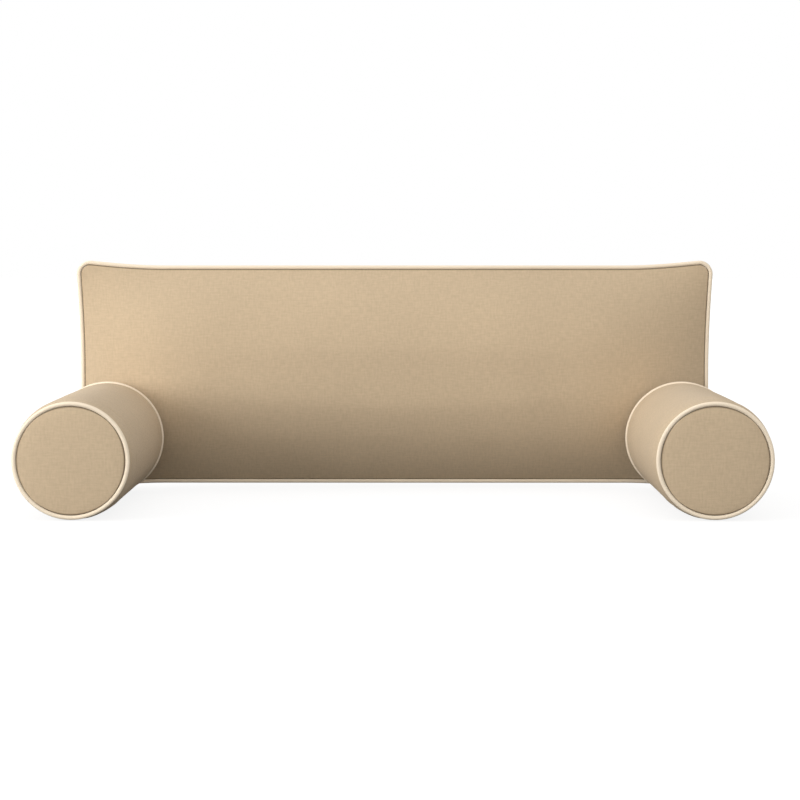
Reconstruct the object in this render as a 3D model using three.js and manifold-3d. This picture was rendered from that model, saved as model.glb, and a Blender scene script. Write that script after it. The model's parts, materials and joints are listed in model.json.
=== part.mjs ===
// A daybed pillow set: one long knife-edge back cushion and two round bolster pillows, with contrast piping.
// Millimetres, +Z up. X runs along the back cushion. The bolsters lie along Y, in front of it, at its two ends.
// Every cushion is a cloth cover with a zip, piping round a cord, and an insert of foam, batting or fibre.
import * as THREE from "three";
import { mergeVertices } from "three/addons/utils/BufferGeometryUtils.js";
import Module from "manifold-3d";

// ---- Driving dimensions of the back cushion ----
const backWidth = 1240;
const backHeight = 444;
const backThickness = 144;
const backCornerRadius = 26;
const backLongEdgePull = 9.6;
const backLongEdgeReach = 146;
const backShortEdgePull = 7.4;
const backShortEdgeReach = 180;
const backCrownReachX = 260;
const backCrownReachZ = 180;
const backCrownTail = 20;
const backZipHeight = 96;

// ---- Driving dimensions of a bolster ----
const bolsterLength = 610;
const bolsterEndRadius = 101.8;
const bolsterSwell = 4.9;
const bolsterSwellReach = 60;
const bolsterSag = 3.2;
const bolsterEndDome = 5;
const bolsterAxisInset = 67;
const bolsterZipMargin = 70.8;
const battingThickness = 12;

// ---- Cloth, piping and clearances ----
const clothThickness = 1.2;
const tickingThickness = 0.8;
const pipingRadius = 3.8;
const pipingCloth = 0.8;
const seamAllowance = 6;
const clearance = 0.4;
const layerGap = 1;
const coverEase = 5.6;

// ---- Zip ----
const zipTapeWidth = 13;
const zipTapeThickness = 0.8;
const zipTapeDepth = 3.4;
const zipChainWidth = 2.4;
const zipChainHeight = 2.2;
const zipStopLength = 4;
const sliderLength = 10;
const sliderWall = 0.9;
const sliderRoof = 1.2;
const sliderPlay = 0.3;
const slotPlay = 1;
const archOpening = 2;
const archWall = 1.1;
const archWidth = 2.6;
const archHeight = 1.8;
const pullLength = 27;
const pullWidth = 7;
const pullThickness = 1.2;
const pullWindow = 4.4;

// ---- Derived sizes ----
const pipingGap = clearance / 2;
const cordRadius = pipingRadius - pipingCloth - clearance;
const seamHalf = pipingGap + pipingCloth;
const rimOffset = seamHalf + clearance;
const panelInset = 2 * pipingRadius + clearance;
const backZipLength = backWidth - 2 * (backCrownReachX - backCrownTail);
const bolsterSpacing = backWidth - 2 * bolsterAxisInset;
const bolsterRadius = bolsterEndRadius + bolsterSwell;
const bolsterAxisHeight = bolsterRadius - bolsterSag;
const seamRadius = bolsterEndRadius - pipingRadius;
const tubeEnd = pipingRadius + clearance;
const bolsterZipLength = bolsterLength - 2 * (tubeEnd + bolsterZipMargin);
const chainHalf = clearance / 2 + zipChainWidth;
const sliderHalf = chainHalf + sliderPlay + sliderWall;
const zipSlotHalf = sliderHalf + slotPlay;
const insertInset = 2 * pipingRadius + seamAllowance + 3 * layerGap;

// Facets round each bolster, and the smaller count for its inner pieces and piping.
const tubeFacets = 26;
const innerFacets = 20;

const cloth = { color: 0xcdb28a, roughness: 0.92, metalness: 0 };
const pipingFinish = { color: 0xf3dfba, roughness: 0.85, metalness: 0 };
const cordFinish = { color: 0xf1ece0, roughness: 0.9, metalness: 0 };
const tickingFinish = { color: 0xf2f0ea, roughness: 0.9, metalness: 0 };
const battingFinish = { color: 0xfbfbf8, roughness: 1, metalness: 0 };
const foamFinish = { color: 0xe9dfae, roughness: 0.95, metalness: 0 };
const tapeFinish = { color: 0xc4aa84, roughness: 0.9, metalness: 0 };
const chainFinish = { color: 0xb99c74, roughness: 0.5, metalness: 0 };
const metalFinish = { color: 0xb8b4ac, roughness: 0.35, metalness: 1 };

const wasm = await Module();
wasm.setup();

// A named mesh with a material of its own.
function piece(name, geometry, finish) {
  const mesh = new THREE.Mesh(geometry, new THREE.MeshStandardMaterial(finish));
  mesh.name = name;
  return mesh;
}

// The manifold-3d solid of a closed geometry.
function solidOf(geometry) {
  const bare = new THREE.BufferGeometry();
  const flat = geometry.index ? geometry.toNonIndexed() : geometry;
  bare.setAttribute("position", flat.getAttribute("position"));
  const merged = mergeVertices(bare, 1e-3);
  const vertProperties = merged.attributes.position.array;
  const triVerts = new Uint32Array(merged.index.array);
  return new wasm.Manifold(new wasm.Mesh({ numProp: 3, vertProperties, triVerts }));
}

// One geometry out of several overlapping closed ones.
function joined(geometries) {
  const mesh = geometries.map(solidOf).reduce((whole, next) => whole.add(next)).getMesh();
  const out = new THREE.BufferGeometry();
  out.setAttribute("position", new THREE.BufferAttribute(mesh.vertProperties, 3));
  out.setIndex(new THREE.BufferAttribute(mesh.triVerts, 1));
  return out;
}

// A closed sheet between two surfaces over the same grid. Seen from its near side, u runs right and v runs up.
function sheet(near, far, uStops, vStops) {
  const positions = [];
  const index = [];
  const columns = uStops.length;
  const rows = vStops.length;
  for (const surface of [near, far]) {
    for (const v of vStops) {
      for (const u of uStops) positions.push(...surface(u, v).toArray());
    }
  }
  const at = (side, i, j) => side * columns * rows + j * columns + i;
  const quad = (a, b, c, d) => index.push(a, b, c, a, c, d);
  for (let j = 0; j + 1 < rows; j++) {
    for (let i = 0; i + 1 < columns; i++) {
      quad(at(0, i, j), at(0, i + 1, j), at(0, i + 1, j + 1), at(0, i, j + 1));
      quad(at(1, i, j), at(1, i, j + 1), at(1, i + 1, j + 1), at(1, i + 1, j));
    }
  }
  for (let i = 0; i + 1 < columns; i++) {
    quad(at(0, i, 0), at(1, i, 0), at(1, i + 1, 0), at(0, i + 1, 0));
    quad(at(0, i, rows - 1), at(0, i + 1, rows - 1), at(1, i + 1, rows - 1), at(1, i, rows - 1));
  }
  for (let j = 0; j + 1 < rows; j++) {
    quad(at(0, 0, j), at(0, 0, j + 1), at(1, 0, j + 1), at(1, 0, j));
    quad(at(0, columns - 1, j), at(1, columns - 1, j), at(1, columns - 1, j + 1), at(0, columns - 1, j + 1));
  }
  return gridGeometry(positions, index);
}

function gridGeometry(positions, index) {
  const geometry = new THREE.BufferGeometry();
  geometry.setAttribute("position", new THREE.Float32BufferAttribute(positions, 3));
  geometry.setIndex(index);
  geometry.computeVertexNormals();
  return geometry;
}

// Evenly spaced values from a to b, with both ends.
function evenStops(a, b, count) {
  return Array.from({ length: count + 1 }, (_, i) => a + ((b - a) * i) / count);
}

// A quick rise that levels off: 0 at the seam, 1 from the end of its reach.
function swell(distance, reach, power = 2.2) {
  return 1 - (1 - Math.min(Math.max(distance / reach, 0), 1)) ** power;
}

// ---- Piping section: a strip of cloth folded round a cord, with its two lips pointing inwards ----

// Points (out, side): out from the cord's centre, away from the cushion, and side across the seam.
function pipingCoverSection() {
  const inner = pipingRadius - pipingCloth;
  const lipEnd = -(pipingRadius + seamAllowance);
  const ring = (radius, half, count, turn) => {
    const start = Math.PI - Math.asin(half / radius);
    return evenStops(-start, start, count).map(
      (a) => new THREE.Vector2(radius * Math.cos(turn * a), radius * Math.sin(turn * a)),
    );
  };
  return [
    new THREE.Vector2(lipEnd, -seamHalf),
    ...ring(pipingRadius, seamHalf, 6, 1),
    new THREE.Vector2(lipEnd, seamHalf),
    new THREE.Vector2(lipEnd, pipingGap),
    ...ring(inner, pipingGap, 6, -1),
    new THREE.Vector2(lipEnd, -pipingGap),
  ];
}

function pipingCordSection() {
  return evenStops(0, 2 * Math.PI, 6)
    .slice(0, -1)
    .map((a) => new THREE.Vector2(cordRadius * Math.cos(a), cordRadius * Math.sin(a)));
}

// A section swept round a closed rail of points with outward directions, in a plane across Y.
function sweptLoop(rail, section) {
  const positions = [];
  const index = [];
  const count = section.length;
  for (const { point, outward } of rail) {
    for (const { x: out, y: side } of section) {
      positions.push(point.x + out * outward.x, side, point.y + out * outward.y);
    }
  }
  rail.forEach((_, i) => {
    const next = ((i + 1) % rail.length) * count;
    for (let k = 0; k < count; k++) {
      const l = (k + 1) % count;
      index.push(i * count + k, next + l, next + k, i * count + k, i * count + l, next + l);
    }
  });
  return gridGeometry(positions, index);
}

// ---- Zip, in its own frame: X along the chain, closed end at +X, Z out of the cover, Z = 0 on the cloth ----

function box(x0, x1, y0, y1, z0, z1) {
  const geometry = new THREE.BoxGeometry(x1 - x0, y1 - y0, z1 - z0);
  return geometry.translate((x0 + x1) / 2, (y0 + y1) / 2, (z0 + z1) / 2);
}

const chainBottom = -zipTapeDepth + sliderPlay;
const chainTop = chainBottom + zipChainHeight;
const roofBottom = chainTop + sliderPlay;
const roofTop = roofBottom + sliderRoof;
const archTop = roofTop + archHeight + archWall;
const pullAxisHeight = roofTop + archHeight / 2;

function zipTape(length, side) {
  const edges = [(side * clearance) / 2, side * (clearance / 2 + zipTapeWidth)].sort((a, b) => a - b);
  return box(-length / 2, length / 2, ...edges, -zipTapeDepth - zipTapeThickness, -zipTapeDepth);
}

function zipChain(length, side) {
  const edges = [(side * clearance) / 2, side * chainHalf].sort((a, b) => a - b);
  const end = length / 2 - zipStopLength - clearance;
  return box(-end, end, ...edges, chainBottom, chainTop);
}

function zipStop(length, side) {
  const ends = [(side * length) / 2, side * (length / 2 - zipStopLength)].sort((a, b) => a - b);
  return box(...ends, -chainHalf, chainHalf, chainBottom, chainTop);
}

// The slider rides over both rows: a roof, two side walls and the arch that holds the pull.
function zipSlider() {
  const half = sliderHalf;
  const x = sliderLength / 2;
  const arch = archOpening / 2;
  const wallBottom = chainBottom + sliderPlay;
  return joined([
    box(-x, x, -half, half, roofBottom, roofTop),
    box(-x, x, -half, -half + sliderWall, wallBottom, roofTop),
    box(-x, x, half - sliderWall, half, wallBottom, roofTop),
    box(arch, arch + archWall, -archWidth / 2, archWidth / 2, roofBottom, archTop),
    box(-arch - archWall, -arch, -archWidth / 2, archWidth / 2, roofBottom, archTop),
    box(-arch - archWall, arch + archWall, -archWidth / 2, archWidth / 2, archTop - archWall, archTop),
  ]);
}

// The pull is a flat tab with a window. The bar at the end of the window turns inside the slider's arch.
function zipPull() {
  const bar = pullThickness / 2;
  const half = pullWidth / 2;
  const tip = -(pullLength - half);
  const outline = new THREE.Shape();
  outline.moveTo(bar, -half + 1);
  outline.lineTo(bar, half - 1);
  outline.lineTo(tip, half);
  outline.absarc(tip, 0, half, Math.PI / 2, (3 * Math.PI) / 2, false);
  const windowHalf = archWidth / 2 + clearance;
  const hole = new THREE.Path();
  hole.moveTo(-bar, -windowHalf);
  hole.lineTo(-bar - pullWindow, -windowHalf);
  hole.lineTo(-bar - pullWindow, windowHalf);
  hole.lineTo(-bar, windowHalf);
  outline.holes.push(hole);
  const settings = { depth: pullThickness, bevelEnabled: false, curveSegments: 8 };
  return new THREE.ExtrudeGeometry(outline, settings).translate(0, 0, pullAxisHeight - bar);
}

// How far the slider's middle stands from the middle of a closed zip.
function sliderRest(length) {
  return length / 2 - zipStopLength - clearance - sliderLength / 2;
}

function zip(name, length) {
  const group = new THREE.Group();
  for (const [side, label] of [[1, "a"], [-1, "b"]]) {
    group.add(piece(`${name}_zip_tape_${label}`, zipTape(length, side), tapeFinish));
    group.add(piece(`${name}_zip_teeth_${label}`, zipChain(length, side), chainFinish));
  }
  group.add(piece(`${name}_zip_closed_end_stop`, zipStop(length, 1), metalFinish));
  group.add(piece(`${name}_zip_open_end_stop`, zipStop(length, -1), metalFinish));
  const slider = piece(`${name}_zip_slider`, zipSlider(), metalFinish);
  const pull = piece(`${name}_zip_pull`, zipPull(), metalFinish);
  slider.position.x = sliderRest(length);
  pull.position.x = sliderRest(length);
  group.add(slider, pull);
  return group;
}

// A group turned so that its X lies along the chain and its Z along the cloth's outward normal.
function placed(group, along, normal, origin) {
  const across = new THREE.Vector3().crossVectors(normal, along);
  group.applyMatrix4(new THREE.Matrix4().makeBasis(along, across, normal).setPosition(origin));
  return group;
}

// ---- Back cushion: its outline lies in the plane Y = 0, centred on X = 0, Z = 0 ----

// A stop in [-1, 1] lies on the straight part of an edge, and one in [1, 2] in the rounded corner.
function alongEdge(stop, half, radius) {
  const size = Math.abs(stop);
  const straight = half - radius;
  const distance = size <= 1 ? straight * size : straight + radius * (size - 1);
  return Math.sign(stop) * distance;
}

// The corners stay rounder than a true inset would leave them.
function cornerRadiusAt(inset) {
  return backCornerRadius - 0.9 * inset;
}

// The point (x, z) of an outline drawn in by inset from the cushion's outer edge.
function outlinePoint(uStop, vStop, inset) {
  const halfX = backWidth / 2 - inset;
  const halfZ = backHeight / 2 - inset;
  const radius = cornerRadiusAt(inset);
  let x = alongEdge(uStop, halfX, radius);
  let z = alongEdge(vStop, halfZ, radius);
  if (Math.abs(uStop) > 1 && Math.abs(vStop) > 1) {
    const p = Math.abs(uStop) - 1;
    const q = Math.abs(vStop) - 1;
    x = Math.sign(x) * (halfX - radius + radius * p * Math.sqrt(1 - (q * q) / 2));
    z = Math.sign(z) * (halfZ - radius + radius * q * Math.sqrt(1 - (p * p) / 2));
  }
  const pullZ = backLongEdgePull * drawnIn(backWidth / 2 - backCornerRadius - Math.abs(x), backLongEdgeReach);
  const pullX = backShortEdgePull * drawnIn(backHeight / 2 - backCornerRadius - Math.abs(z), backShortEdgeReach);
  const drawnX = x * (1 - pullX / (backWidth / 2));
  const drawnZ = z * (1 - pullZ / (backHeight / 2));
  return { x: drawnX, z: drawnZ, toSide: halfX - Math.abs(x), toEdge: halfZ - Math.abs(z) };
}

// How far along its reach an edge has been drawn in, at a distance from the corner.
function drawnIn(distance, reach) {
  return Math.sin((Math.PI / 2) * Math.min(Math.max(distance / reach, 0), 1));
}

// The crowned surface on one side (-1 front, 1 rear) of the seam plane: base at its rim, base + crown at its top.
function crownPoint(uStop, vStop, inset, side, base, crown) {
  const { x, z, toSide, toEdge } = outlinePoint(uStop, vStop, inset);
  const rise = swell(toSide, backCrownReachX) * swell(toEdge, backCrownReachZ);
  return new THREE.Vector3(x, side * (base + crown * rise), z);
}

const cornerStops = [1 + 1 / 3, 1 + 2 / 3, 2];
const panelStraightX = backWidth / 2 - panelInset - cornerRadiusAt(panelInset);
const fullyDrawn = 1 - backShortEdgePull / (backWidth / 2);
const zipEndStop = (backZipLength / 2 + slotPlay) / (panelStraightX * fullyDrawn);
const zipLineStop = (backZipHeight - backHeight / 2) / (backHeight / 2 - backCornerRadius);
const panelBase = rimOffset + clothThickness;
const panelCrown = backThickness / 2 - panelBase;
const insertCrown = panelCrown - clothThickness - coverEase;

function mirroredStops(half) {
  return [...half.map((stop) => -stop).reverse(), ...half];
}

// The stops across the cushion: close together in the corners, with one at each end of the zip.
function columnStops() {
  const outer = [0.28, 0.55, 0.8, 1].map((share) => zipEndStop + (1 - zipEndStop) * share);
  return mirroredStops([zipEndStop / 3, zipEndStop, zipEndStop + 0.006, ...outer, ...cornerStops]);
}

function rowStops() {
  return mirroredStops([0.16, 0.45, 0.72, 0.9, 1, ...cornerStops]);
}

function panelPoint(uStop, vStop, side, depth) {
  const point = crownPoint(uStop, vStop, panelInset, side, panelBase, panelCrown);
  return point.setY(point.y - side * depth);
}

function frontPanel() {
  const surface = (depth) => (u, v) => panelPoint(u, v, -1, depth);
  return sheet(surface(0), surface(clothThickness), columnStops(), rowStops());
}

// A half of the rear panel. Its zip edge stands back from the zip line by the slot, or by a seam beyond the zip.
function rearPanel(above) {
  const side = above ? 1 : -1;
  const edgeStop = (u) => {
    const gap = Math.abs(u) <= zipEndStop ? zipSlotHalf : clearance / 2;
    return zipLineStop + (side * gap) / (backHeight / 2 - backCornerRadius);
  };
  const surface = (depth) => (u, v) => panelPoint(u, v === zipLineStop ? edgeStop(u) : v, 1, depth);
  const rows = rowStops().filter((v) => side * (v - zipLineStop) > 0.1);
  rows.push(zipLineStop);
  rows.sort((a, b) => a - b);
  return sheet(surface(clothThickness), surface(0), columnStops(), rows);
}

const insertColumns = mirroredStops([0.5, 0.7, 0.86, 1, 1.5, 2]);
const insertRows = mirroredStops([0.36, 0.7, 1, 1.5, 2]);

// The ticking bag is two sheets, and the fill is the crowned body between them.
function insertSheet(side) {
  const surface = (depth) => (u, v) => {
    const point = crownPoint(u, v, insertInset, side, rimOffset, insertCrown);
    return point.setY(point.y - side * depth);
  };
  const near = side < 0 ? 0 : tickingThickness;
  return sheet(surface(near), surface(tickingThickness - near), insertColumns, insertRows);
}

function fibreFill() {
  const base = rimOffset - tickingThickness - clearance;
  const surface = (side) => (u, v) => crownPoint(u, v, insertInset, side, base, insertCrown);
  return sheet(surface(-1), surface(1), insertColumns, insertRows);
}

// The piping follows the outline. Each rail point lies on the cord's centre line.
function pipingRail() {
  const columns = mirroredStops([zipEndStop, 0.8, 0.9, 1, ...cornerStops]);
  const rows = mirroredStops([0.45, 1, ...cornerStops]).slice(1, -1);
  const stops = [
    ...columns.map((u) => [u, -2]),
    ...rows.map((v) => [2, v]),
    ...[...columns].reverse().map((u) => [u, 2]),
    ...[...rows].reverse().map((v) => [-2, v]),
  ];
  const points = stops.map(([u, v]) => {
    const { x, z } = outlinePoint(u, v, pipingRadius);
    return new THREE.Vector2(x, z);
  });
  return points.map((point, i) => {
    const before = points[(i + points.length - 1) % points.length];
    const after = points[(i + 1) % points.length];
    const along = new THREE.Vector2().subVectors(after, before).normalize();
    return { point, outward: new THREE.Vector2(along.y, -along.x) };
  });
}

function backCushion() {
  const group = new THREE.Group();
  group.add(piece("back_front_panel", frontPanel(), cloth));
  group.add(piece("back_rear_upper_panel", rearPanel(true), cloth));
  group.add(piece("back_rear_lower_panel", rearPanel(false), cloth));
  group.add(piece("back_piping_cover", sweptLoop(pipingRail(), pipingCoverSection()), pipingFinish));
  group.add(piece("back_piping_cord", sweptLoop(pipingRail(), pipingCordSection()), cordFinish));
  group.add(piece("back_insert_front_ticking", insertSheet(-1), tickingFinish));
  group.add(piece("back_insert_rear_ticking", insertSheet(1), tickingFinish));
  group.add(piece("back_fibre_fill", fibreFill(), battingFinish));
  group.add(backZip());
  return group;
}

// The zip lies in the rear panel, square to the cloth on either side of it.
function backZip() {
  const step = zipSlotHalf / (backHeight / 2 - backCornerRadius);
  const above = panelPoint(0, zipLineStop + step, 1, 0);
  const below = panelPoint(0, zipLineStop - step, 1, 0);
  const up = new THREE.Vector3().subVectors(above, below).normalize();
  const along = new THREE.Vector3(1, 0, 0);
  const normal = new THREE.Vector3().crossVectors(up, along);
  const middle = new THREE.Vector3().addVectors(above, below).divideScalar(2);
  return placed(zip("back", backZipLength), along, normal, middle);
}

// ---- Bolster: its axis is the Y axis, and its front and rear piping lie at Y = -length/2 and length/2 ----

// The tube's radius at a distance from the nearer end of its cloth.
function tubeRadius(distance) {
  const start = seamRadius + clothThickness;
  return start + (bolsterRadius - start) * swell(distance, bolsterSwellReach, 2.6);
}

function tubeStops() {
  const half = bolsterLength / 2 - tubeEnd;
  const zipHalf = bolsterZipLength / 2;
  const near = [0, 9, 28].map((distance) => half - distance);
  const stops = [...near, zipHalf + 1, zipHalf, zipHalf / 3].sort((a, b) => b - a);
  return [...stops.map((y) => -y), ...stops.reverse()];
}

// The tube is one cloth rolled round the insert. Its two long edges meet at the zip, on the outer flank.
function tubePanel(flank) {
  const half = bolsterLength / 2 - tubeEnd;
  const surface = (drop) => (turn, y) => {
    const radius = tubeRadius(half - Math.abs(y)) - drop;
    const gap = Math.abs(y) <= bolsterZipLength / 2 ? zipSlotHalf : clearance / 2;
    const start = Math.asin(gap / radius);
    const angle = start + turn * (2 * Math.PI - 2 * start);
    const x = flank * radius * Math.cos(angle);
    const z = Math.max(radius * Math.sin(angle), -bolsterAxisHeight + drop);
    return new THREE.Vector3(x, y, z);
  };
  const turns = evenStops(0, 1, tubeFacets);
  const stops = flank > 0 ? tubeStops().reverse() : tubeStops();
  return sheet(surface(0), surface(clothThickness), turns, stops);
}

// A round end panel, slightly domed, facing -Y. Its rim lies in front of the piping's lips.
function endPanel() {
  const rim = seamRadius - pipingRadius - clearance;
  const dome = (radius) => -rimOffset - bolsterEndDome * (1 - (radius / rim) ** 2);
  const radii = [rim, rim * 0.88, rim * 0.55];
  const outer = radii.map((radius) => new THREE.Vector2(radius, dome(radius) - clothThickness));
  const inner = radii.map((radius) => new THREE.Vector2(radius, dome(radius)));
  const profile = [
    new THREE.Vector2(0, dome(0) - clothThickness),
    ...outer.reverse(),
    ...inner,
    new THREE.Vector2(0, dome(0)),
  ];
  return new THREE.LatheGeometry(profile, innerFacets);
}

// A piping section turned round the bolster's axis.
function pipingRing(section) {
  const profile = section.map((p) => new THREE.Vector2(seamRadius + p.x, p.y));
  return new THREE.LatheGeometry([...profile, profile[0].clone()], innerFacets);
}

// A layer of the insert: a strip of cloth or batting rolled into a sleeve, with its two edges almost meeting.
function sleeve(radius, thickness, half) {
  const start = clearance / radius;
  const surface = (drop) => (turn, y) => {
    const angle = start + turn * (2 * Math.PI - 2 * start);
    return new THREE.Vector3((radius - drop) * Math.cos(angle), y, (radius - drop) * Math.sin(angle));
  };
  return sheet(surface(0), surface(thickness), evenStops(0, 1, innerFacets), [half, -half]);
}

// Its facets line up with those of the sleeves round it.
function foamCore(radius, half) {
  return new THREE.CylinderGeometry(radius, radius, 2 * half, innerFacets, 1).rotateY(Math.PI / 2);
}

function bolster(name, flank) {
  const group = new THREE.Group();
  const insertHalf = bolsterLength / 2 - tubeEnd - 2 * clearance;
  const insertRadius = bolsterRadius - coverEase;
  const endRadius = seamRadius - pipingRadius - seamAllowance - clearance;
  const sleeveHalf = insertHalf - bolsterSwellReach / 2;
  const battingRadius = insertRadius - tickingThickness - layerGap;
  const foamRadius = Math.min(battingRadius - battingThickness - layerGap, endRadius);
  group.add(piece(`${name}_tube_panel`, tubePanel(flank), cloth));
  group.add(piece(`${name}_insert_sleeve`, sleeve(insertRadius, tickingThickness, sleeveHalf), tickingFinish));
  group.add(piece(`${name}_batting_wrap`, sleeve(battingRadius, battingThickness, sleeveHalf), battingFinish));
  group.add(piece(`${name}_foam_core`, foamCore(foamRadius, insertHalf), foamFinish));
  for (const [end, label] of [[-1, "front"], [1, "rear"]]) {
    const cap = new THREE.Group();
    cap.add(piece(`${name}_${label}_end_panel`, endPanel(), cloth));
    cap.add(piece(`${name}_${label}_piping_cover`, pipingRing(pipingCoverSection()), pipingFinish));
    cap.add(piece(`${name}_${label}_piping_cord`, pipingRing(pipingCordSection()), cordFinish));
    cap.rotation.z = end > 0 ? Math.PI : 0;
    cap.position.y = (end * bolsterLength) / 2;
    group.add(cap);
  }
  const along = new THREE.Vector3(0, 1, 0);
  const normal = new THREE.Vector3(flank, 0, 0);
  group.add(placed(zip(name, bolsterZipLength), along, normal, normal.clone().multiplyScalar(bolsterRadius)));
  return group;
}

// ---- The set, standing on Z = 0 ----

// The bolsters' rear piping clears the back cushion's face where that face stands proudest against it.
function bolsterCentreY() {
  const toSide = backWidth / 2 - panelInset - (bolsterSpacing / 2 - bolsterRadius);
  const toEdge = 2 * bolsterRadius;
  const face = panelBase + panelCrown * swell(toSide, backCrownReachX) * swell(toEdge, backCrownReachZ);
  return -(face + bolsterEndDome + pipingRadius + clearance + bolsterLength / 2);
}

function pillowSet() {
  const set = new THREE.Group();
  const back = backCushion();
  back.position.z = backHeight / 2;
  set.add(back);
  for (const [flank, name] of [[-1, "left_bolster"], [1, "right_bolster"]]) {
    const one = bolster(name, flank);
    one.position.set((flank * bolsterSpacing) / 2, bolsterCentreY(), bolsterAxisHeight);
    set.add(one);
  }
  const bounds = new THREE.Box3().setFromObject(set);
  set.position.y = -(bounds.min.y + bounds.max.y) / 2;
  return set;
}

export default pillowSet();
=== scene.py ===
"""A daybed pillow set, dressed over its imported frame: a long back cushion and two round bolster pillows.

Every cushion is a piped cover with a zip, over an insert of its own. Metres, +Z up. X runs along the back
cushion, and the bolsters lie along Y in front of its two ends.
"""
import json
import logging
import math
from collections.abc import Callable
from dataclasses import dataclass, field
from enum import Enum

import bmesh
import bpy
import numpy as np
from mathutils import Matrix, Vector


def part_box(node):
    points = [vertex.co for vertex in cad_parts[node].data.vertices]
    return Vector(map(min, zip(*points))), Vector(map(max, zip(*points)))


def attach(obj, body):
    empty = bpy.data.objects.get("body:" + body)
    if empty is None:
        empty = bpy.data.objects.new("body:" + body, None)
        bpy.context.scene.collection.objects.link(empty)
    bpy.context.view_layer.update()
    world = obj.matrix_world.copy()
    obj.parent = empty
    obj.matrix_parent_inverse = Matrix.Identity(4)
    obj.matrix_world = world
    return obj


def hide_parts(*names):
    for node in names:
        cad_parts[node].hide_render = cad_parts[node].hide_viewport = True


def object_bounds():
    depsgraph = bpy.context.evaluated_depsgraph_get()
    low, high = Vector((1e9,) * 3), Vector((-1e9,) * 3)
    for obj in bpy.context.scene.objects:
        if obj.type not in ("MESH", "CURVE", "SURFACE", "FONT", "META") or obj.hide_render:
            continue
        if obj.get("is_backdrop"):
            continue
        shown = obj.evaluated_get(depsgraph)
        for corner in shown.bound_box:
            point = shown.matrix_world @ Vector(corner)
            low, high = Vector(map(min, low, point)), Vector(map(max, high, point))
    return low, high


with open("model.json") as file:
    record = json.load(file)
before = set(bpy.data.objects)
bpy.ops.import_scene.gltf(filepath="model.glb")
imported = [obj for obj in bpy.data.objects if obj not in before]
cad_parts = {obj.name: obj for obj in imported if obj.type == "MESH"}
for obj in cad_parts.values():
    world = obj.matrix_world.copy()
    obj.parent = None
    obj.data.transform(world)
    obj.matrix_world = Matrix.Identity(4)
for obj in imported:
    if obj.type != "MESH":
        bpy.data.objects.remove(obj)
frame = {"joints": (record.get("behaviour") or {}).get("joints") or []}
CAD_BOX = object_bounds()

MM = 0.001
NEAR_ZERO = 1e-9
STITCH_OFF = 9.5 * MM
STITCH_BEYOND = 12 * MM
STITCH_STEP = 8 * MM
RIM_SHADE = 0.5
MARK_SLIP = 0.05 * MM
EDGE_SINK = 0.3 * MM
FIRM_REACH = 26 * MM
FIRM_START = 1.6
LIP_HALF = 1.3 * MM
JUST_OVER = 1.01
GRAIN_DEPTH = 0.01 * MM
FLOOR_DROP = 0.2 * MM
CAP_REACH = 12 * MM
INSIDE_WALL = 0.3 * MM
CLOTH_MAP = "cloth"
SEAM_SHADE = "seam_shade"
Colour = tuple[float, float, float]
log = logging.getLogger("pillow_set")


class Slot(Enum):
    """The record's material slots."""

    COVER = "cover_cloth"
    PIPING = "piping_cloth"
    CORD = "cotton_cord"
    TICKING = "ticking"
    BATTING = "batting"
    FOAM = "foam"
    TAPE = "zip_tape"
    TEETH = "zip_teeth"
    METAL = "zip_metal"


class Flank(Enum):
    """The end of the set that a bolster lies at."""

    LEFT = -1
    RIGHT = 1

    @property
    def prefix(self) -> str:
        """The start of the bolster's node names."""
        return f"{self.name.lower()}_bolster"


# ---- Shapes of sewn and stuffed cloth ----


def swell(distance: np.ndarray, reach: float, power: float = 2.2) -> np.ndarray:
    """A quick rise that levels off.

    Args:
        distance: how far each point is from the seam.
        reach: where the rise ends.
        power: how quickly it starts.

    Returns:
        0 at the seam, and 1 from the end of the reach.
    """
    return 1 - (1 - np.clip(distance / reach, 0, 1)) ** power


def drawn_in(distance: np.ndarray, reach: float) -> np.ndarray:
    """How far along its reach an edge has been drawn in, from 0 at the corner to 1."""
    return np.sin(np.pi / 2 * np.clip(distance / reach, 0, 1))


def spread(low: float, high: float, step: float) -> np.ndarray:
    """Even stops from low to high with both ends, about step apart."""
    return np.linspace(low, high, max(1, round((high - low) / step)) + 1)


def with_marks(stops: np.ndarray, marks: list[float], room: float) -> np.ndarray:
    """Puts marks among stops.

    Args:
        stops: rising stops.
        marks: stops that have to be there.
        room: a stop nearer than this to a mark gives way, apart from the two ends.

    Returns:
        All of them, rising.
    """
    ends = (stops[0], stops[-1])
    kept = [s for s in stops if s in ends or min(abs(s - m) for m in marks) > room]
    return np.array(sorted([*kept, *marks]))


def boundary(grid: np.ndarray) -> np.ndarray:
    """The edge of a grid as one loop, from its first corner along the first row."""
    return np.concatenate([grid[0, :-1], grid[:-1, -1], grid[-1, :0:-1], grid[:0:-1, 0]])


def mirrored(profile: list[tuple[float, float]]) -> list[tuple[float, float]]:
    """A profile from one end to the middle, followed by its mirror image."""
    return profile + [(radius, -y) for radius, y in profile[::-1]]


def closed(loop: np.ndarray) -> np.ndarray:
    """A loop with its first entry repeated at the end."""
    return np.concatenate([loop, loop[:1]])


def run_of(points: np.ndarray, axis: int) -> np.ndarray:
    """The distance along the cloth from the middle of each row or column of a grid of points."""
    steps = np.linalg.norm(np.diff(points, axis=axis), axis=-1)
    length = np.cumsum(steps, axis=axis)
    length = np.insert(length, 0, 0, axis=axis)
    middle = np.take(length, [length.shape[axis] // 2], axis=axis)
    return length - middle


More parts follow.
